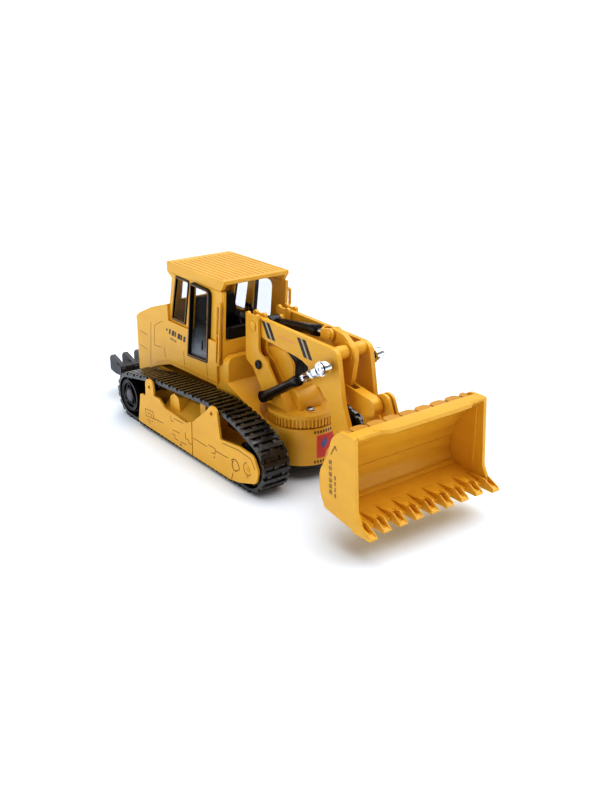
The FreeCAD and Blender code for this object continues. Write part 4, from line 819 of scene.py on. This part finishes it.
def make_arm_web(side, word):
    """Plate that fills the inner corner between the arm's beam and its leg."""
    bm = bmesh.new()
    outline = [(37.0, 64.2), (48.2, 59.6), (49.8, 54.6)]
    outline += arc((54.2, 56.4), 4.6, 202.0, 300.0, 8)
    outline += [(60.6, 48.4), (65.6, 46.6), (66.5, 52.0), (60.0, 64.0)]
    on_side(bm, outline, side, 8.25, ARM_FACE - 0.15)
    piece("arm_web_" + word, bm, yellow, "lift_arms", 0.3)


def make_arm_prints(side, word):
    """Two pairs of dark bands with a grey core on the arm, and a faint warm print between them."""
    bm = bmesh.new()
    cores = bmesh.new()
    for start, low, high in ((13.4, 65.3, 73.0), (41.4, 63.5, 71.9)):
        lean = BAND_LEAN * (high - low)
        for offset, half, target in ((0.0, 1.2, bm), (4.0, 1.2, bm), (2.0, 0.6, cores)):
            left, right = start + offset - half, start + offset + half
            band = [(left, high), (right, high), (right + lean, low), (left + lean, low)]
            on_side(target, band, side, ARM_FACE - ROOT, ARM_FACE + SKIN)
    piece("arm_bands_" + word, bm, ink_black, "lift_arms")
    piece("arm_band_cores_" + word, cores, ink_grey, "lift_arms")
    bm = bmesh.new()
    for i in range(6):
        x, z = 25.6 + 2.3 * i, 68.6 - 0.05 * i
        drawn(bm, [(x, z), (x + 1.6, z)], 1.7 - 0.5 * (i % 2), side, ARM_FACE)
    piece("arm_faint_print_" + word, bm, ink_rose, "lift_arms")


def make_lift_pin_cap(side, word):
    """Plated cap with a hexagon on the lift cylinder's pin."""
    bm = bmesh.new()
    side_button(bm, [(2.5, 0.0), (2.5, 0.3), (2.0, 0.6), (0.4, 0.65)], LIFT_EYE, side, LIFT_Y + 2.9, 28)
    side_button(bm, [(0.9, 0.0), (0.9, 0.5), (0.5, 0.7)], LIFT_EYE, side, LIFT_Y + 3.4, 6)
    piece("lift_pin_cap_" + word, bm, chrome, "lift_arms")


def make_rod_collars(side, word):
    """Plated collars and flats on the lift rod between the barrel's mouth and its eye."""
    run, rise = LIFT_EYE[0] - LIFT_BASE[0], LIFT_EYE[1] - LIFT_BASE[1]
    reach = math.hypot(run, rise)
    along_x, along_z = run / reach, rise / reach
    rings = []
    for distance, radius in ROD_COLLARS:
        ring = []
        for i in range(COLLAR_SIDES):
            across, sideways = polar((0.0, 0.0), radius, 360.0 * (i + 0.5) / COLLAR_SIDES)
            ring.append(point(LIFT_BASE[0] + distance * along_x - across * along_z,
                              side * LIFT_Y + sideways * COLLAR_FLATTEN,
                              LIFT_BASE[1] + distance * along_z + across * along_x))
        rings.append(ring)
    bm = bmesh.new()
    loft(bm, rings)
    piece("lift_rod_collars_" + word, bm, chrome, "lift_rod_" + word, 0.25, 30.0)


# ---------------------------------------------------------------- bucket
def make_tooth_rims():
    """Raised rims along both sides of every tooth, so that each reads as a channel open to the front."""
    bm = bmesh.new()
    for i in range(TOOTH_COUNT):
        middle = (i - (TOOTH_COUNT - 1) / 2) * TOOTH_PITCH
        is_end = i in (0, TOOTH_COUNT - 1)
        tip = TOOTH_TIP - 0.4 - (0.0 if is_end else MIDDLE_TOOTH_SHORT)
        rim = [(114.2, 17.0), (118.8, 17.3), (tip, 14.4), (tip, 13.4), (114.2, 16.0)]
        for side in (RIGHT, LEFT):
            y = middle + side * (TOOTH_HALF - 0.42)
            y = max(0.4 - BUCKET_FACE, min(BUCKET_FACE - 0.4, y))
            slab_y(bm, rim, y - RIM_HALF, y + RIM_HALF)
    piece("tooth_rims", bm, yellow, "bucket", 0.14)


def make_bucket_creases():
    """Two creases across the inside of the bucket's back."""
    bm = bmesh.new()
    slab_y(bm, [(95.4, 29.0), (96.35, 29.6), (96.45, 30.2), (95.6, 30.6)], -CREASE_HALF, CREASE_HALF)
    slab_y(bm, [(98.6, 17.6), (99.8, 17.7), (98.6, 18.5), (97.6, 18.9)], -CREASE_HALF, CREASE_HALF)
    piece("bucket_creases", bm, yellow, "bucket", 0.1)


def make_mould_pip():
    """Small moulding pip inside the bucket, near its right end."""
    bm = bmesh.new()
    turned(bm, [(0.5, 0.0), (0.4, 0.3), (0.15, 0.4)], (97.6, -23.5, 20.8), "z", 12)
    piece("bucket_mould_pip", bm, steel, "bucket")


def make_bucket_side(side, word):
    """Wear strip inside a side plate, and rows of short dashes with a tick printed outside it."""
    bm = bmesh.new()
    strip = [(109.0, 17.6), (110.4, 17.4), (110.6, 50.4), (109.2, 50.4)]
    on_side(bm, strip, side, 35.7, 36.3)
    piece("bucket_wear_strip_" + word, bm, yellow, "bucket", 0.15)
    bm = bmesh.new()
    for i in range(6):
        x, z = 99.6 - 0.1 * i, 24.0 + 2.7 * i
        stroke(bm, (x, z), (x, z + 1.9), 1.9, side, BUCKET_FACE)
        if i < 4:
            stroke(bm, (x + 3.0, z - 0.6), (x + 3.0, z + 1.2), 1.0, side, BUCKET_FACE)
    drawn(bm, [(99.4, 42.0), (102.0, 46.6), (103.0, 44.8)], 0.7, side, BUCKET_FACE)
    piece("bucket_side_print_" + word, bm, ink_faint, "bucket")


# ---------------------------------------------------------------- materials on the CAD nodes
def dress_nodes():
    """Every CAD node gets its finish and softened edges, its mesh's split corners joined first."""
    finishes = {
        "track_belt": (rubber, 0.2), "window_seals": (seal, 0.12), "sprocket": (wheel_black, 0.15),
        "idler": (wheel_black, 0.15), "lift_barrel": (black, 0.2), "tilt_barrel": (black, 0.2),
        # seat and console: black plastic with painted warm sheen in its brown tint
        "base_plate": (black, 0.15), "seat": (seat_black_and_sheen, 0.7), "console": (seat_black_and_sheen, 0.4),
        "tower_bolts": (black, 0.15), "window_glass": (pane, 0.0), "lift_rod": (chrome, 0.2),
        "tilt_rod": (chrome, 0.1), "lift_eye_pins": (chrome, 0.2), "rear_axle": (steel, 0.1),
        "front_axle": (steel, 0.1), "base_screws": (steel, 0.1), "arm_pivot_pins": (steel, 0.15),
        "bucket_hinge_pins": (steel, 0.1), "turntable_screws": (steel, 0.1), "ripper_pins": (steel, 0.1),
        # bucket ribs: their darker yellow is painted shade
        "ripper_beam": (grey, 0.25), "ripper_shanks": (grey, 0.25), "bucket_ribs": (rib_yellow_painted_shade, 0.15),
    }
    edges = {
        "body_shell": 0.6, "cab_roof": 0.3, "hull": 0.3, "hood": 0.5, "bucket_teeth": 0.12, "turntable": 0.12,
        "cab_shell": 0.2, "handrail": 0.15, "bucket_side": 0.42, "bucket_shell": 0.4,
    }
    for name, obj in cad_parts.items():
        stem = name.replace("_right", "").replace("_left", "")
        material, width = finishes.get(stem, (yellow, edges.get(stem, COMMON_EDGE)))
        obj.data.materials.clear()
        obj.data.materials.append(material)
        weld = obj.modifiers.new("weld", "WELD")
        weld.merge_threshold = WELD_GAP * MM
        if width > 0:
            add_bevel(obj, width)


# ---------------------------------------------------------------- floor, light, camera
def make_floor():
    """Plain pale floor."""
    material, tree, bsdf = shader("studio_floor")
    tone = ramp(tree, noise(tree, 3.0, 2.0), 0.3, 0.7, *FLOOR_TONES)
    tree.links.new(tone, bsdf.inputs["Base Color"])
    bsdf.inputs["Roughness"].default_value = 0.9
    bsdf.inputs["Specular IOR Level"].default_value = 0.1
    bm = bmesh.new()
    corners = box_outline((-FLOOR_HALF, -FLOOR_HALF), (FLOOR_HALF, FLOOR_HALF))
    bm.faces.new([bm.verts.new((x, y, 0.0)) for x, y in corners])
    mesh = bpy.data.meshes.new("studio_floor")
    bm.to_mesh(mesh)
    bm.free()
    mesh.materials.append(material)
    floor = bpy.data.objects.new("studio_floor", mesh)
    bpy.context.collection.objects.link(floor)


def make_sky():
    """White studio walls round the object and a dim ceiling, as light and reflections."""
    world = bpy.data.worlds.new("studio")
    bpy.context.scene.world = world
    world.use_nodes = True
    tree = world.node_tree
    coords = tree.nodes.new("ShaderNodeTexCoord")
    parts = tree.nodes.new("ShaderNodeSeparateXYZ")
    tree.links.new(coords.outputs["Generated"], parts.inputs["Vector"])
    tone = ramp(tree, parts.outputs["Z"], 0.10, 0.34, SKY_LOW, SKY_HIGH)
    tree.links.new(tone, tree.nodes["Background"].inputs["Color"])
    tree.nodes["Background"].inputs["Strength"].default_value = SKY_STRENGTH


def add_lamp(data, place, target):
    """Puts a lamp somewhere and turns it to a point; both in metres."""
    lamp = bpy.data.objects.new(data.name, data)
    bpy.context.collection.objects.link(lamp)
    lamp.location = place
    lamp.rotation_mode = "QUATERNION"
    lamp.rotation_quaternion = (Vector(target) - Vector(place)).to_track_quat("-Z", "Y")


def make_lights():
    """A broad overhead light from the far side and a soft one from the near side."""
    overhead = bpy.data.lights.new("overhead", "SUN")
    overhead.energy = 3.3
    overhead.angle = math.radians(80.0)
    add_lamp(overhead, (-0.04, 0.3, 1.0), (0.0, 0.0, 0.0))
    near_side = bpy.data.lights.new("near_side", "AREA")
    near_side.size = 0.5
    near_side.energy = 1.45
    add_lamp(near_side, (-0.25, -0.9, 0.42), (0.0, 0.0, 0.04))


def make_camera():
    """Camera at the object's front right, a little above it."""
    data = bpy.data.cameras.new("camera")
    data.lens = CAMERA_LENS
    data.sensor_width = 36.0
    data.clip_start = 0.01
    data.clip_end = 20.0
    camera = bpy.data.objects.new("camera", data)
    bpy.context.collection.objects.link(camera)
    camera.location = CAMERA_AT
    camera.rotation_mode = "QUATERNION"
    camera.rotation_quaternion = Vector(CAMERA_FORWARD).to_track_quat("-Z", "Y")
    bpy.context.scene.camera = camera


def set_view():
    """How the picture's brightness and contrast are shown."""
    view = bpy.context.scene.view_settings
    view.view_transform = "Standard"
    view.look = "High Contrast"
    view.exposure = VIEW_EXPOSURE


def build():
    """The dressed CAD, every added piece, the stage, its light and the camera."""
    dress_nodes()
    for side, word in SIDES:
        make_track_links(side, word)
        make_sprocket_face(side, word)
        make_frame_lines(side, word)
        make_frame_bosses(side, word)
        make_body_seams(side, word)
        if side == LEFT:
            make_louvres()
        make_body_print(side, word)
        make_tower_detail(side, word)
        make_arm_web(side, word)
        make_arm_prints(side, word)
        make_lift_pin_cap(side, word)
        make_rod_collars(side, word)
    make_roof_grooves()
    make_handrail_frame()
    for side, word in SIDES:
        make_window_trim(side, word)
        make_door_grip(side, word)
        make_roof_gusset(side, word)
    make_floor_mat()
    make_lamp_pods()
    make_rear_grille()
    make_seat_channels()
    make_levers()
    make_nose_print()
    make_deck_screw()
    make_hood_cover()
    make_tooth_rims()
    make_bucket_creases()
    for side, word in SIDES:
        make_bucket_side(side, word)
    make_mould_pip()
    make_floor()
    make_sky()
    make_lights()
    make_camera()
    set_view()


build()
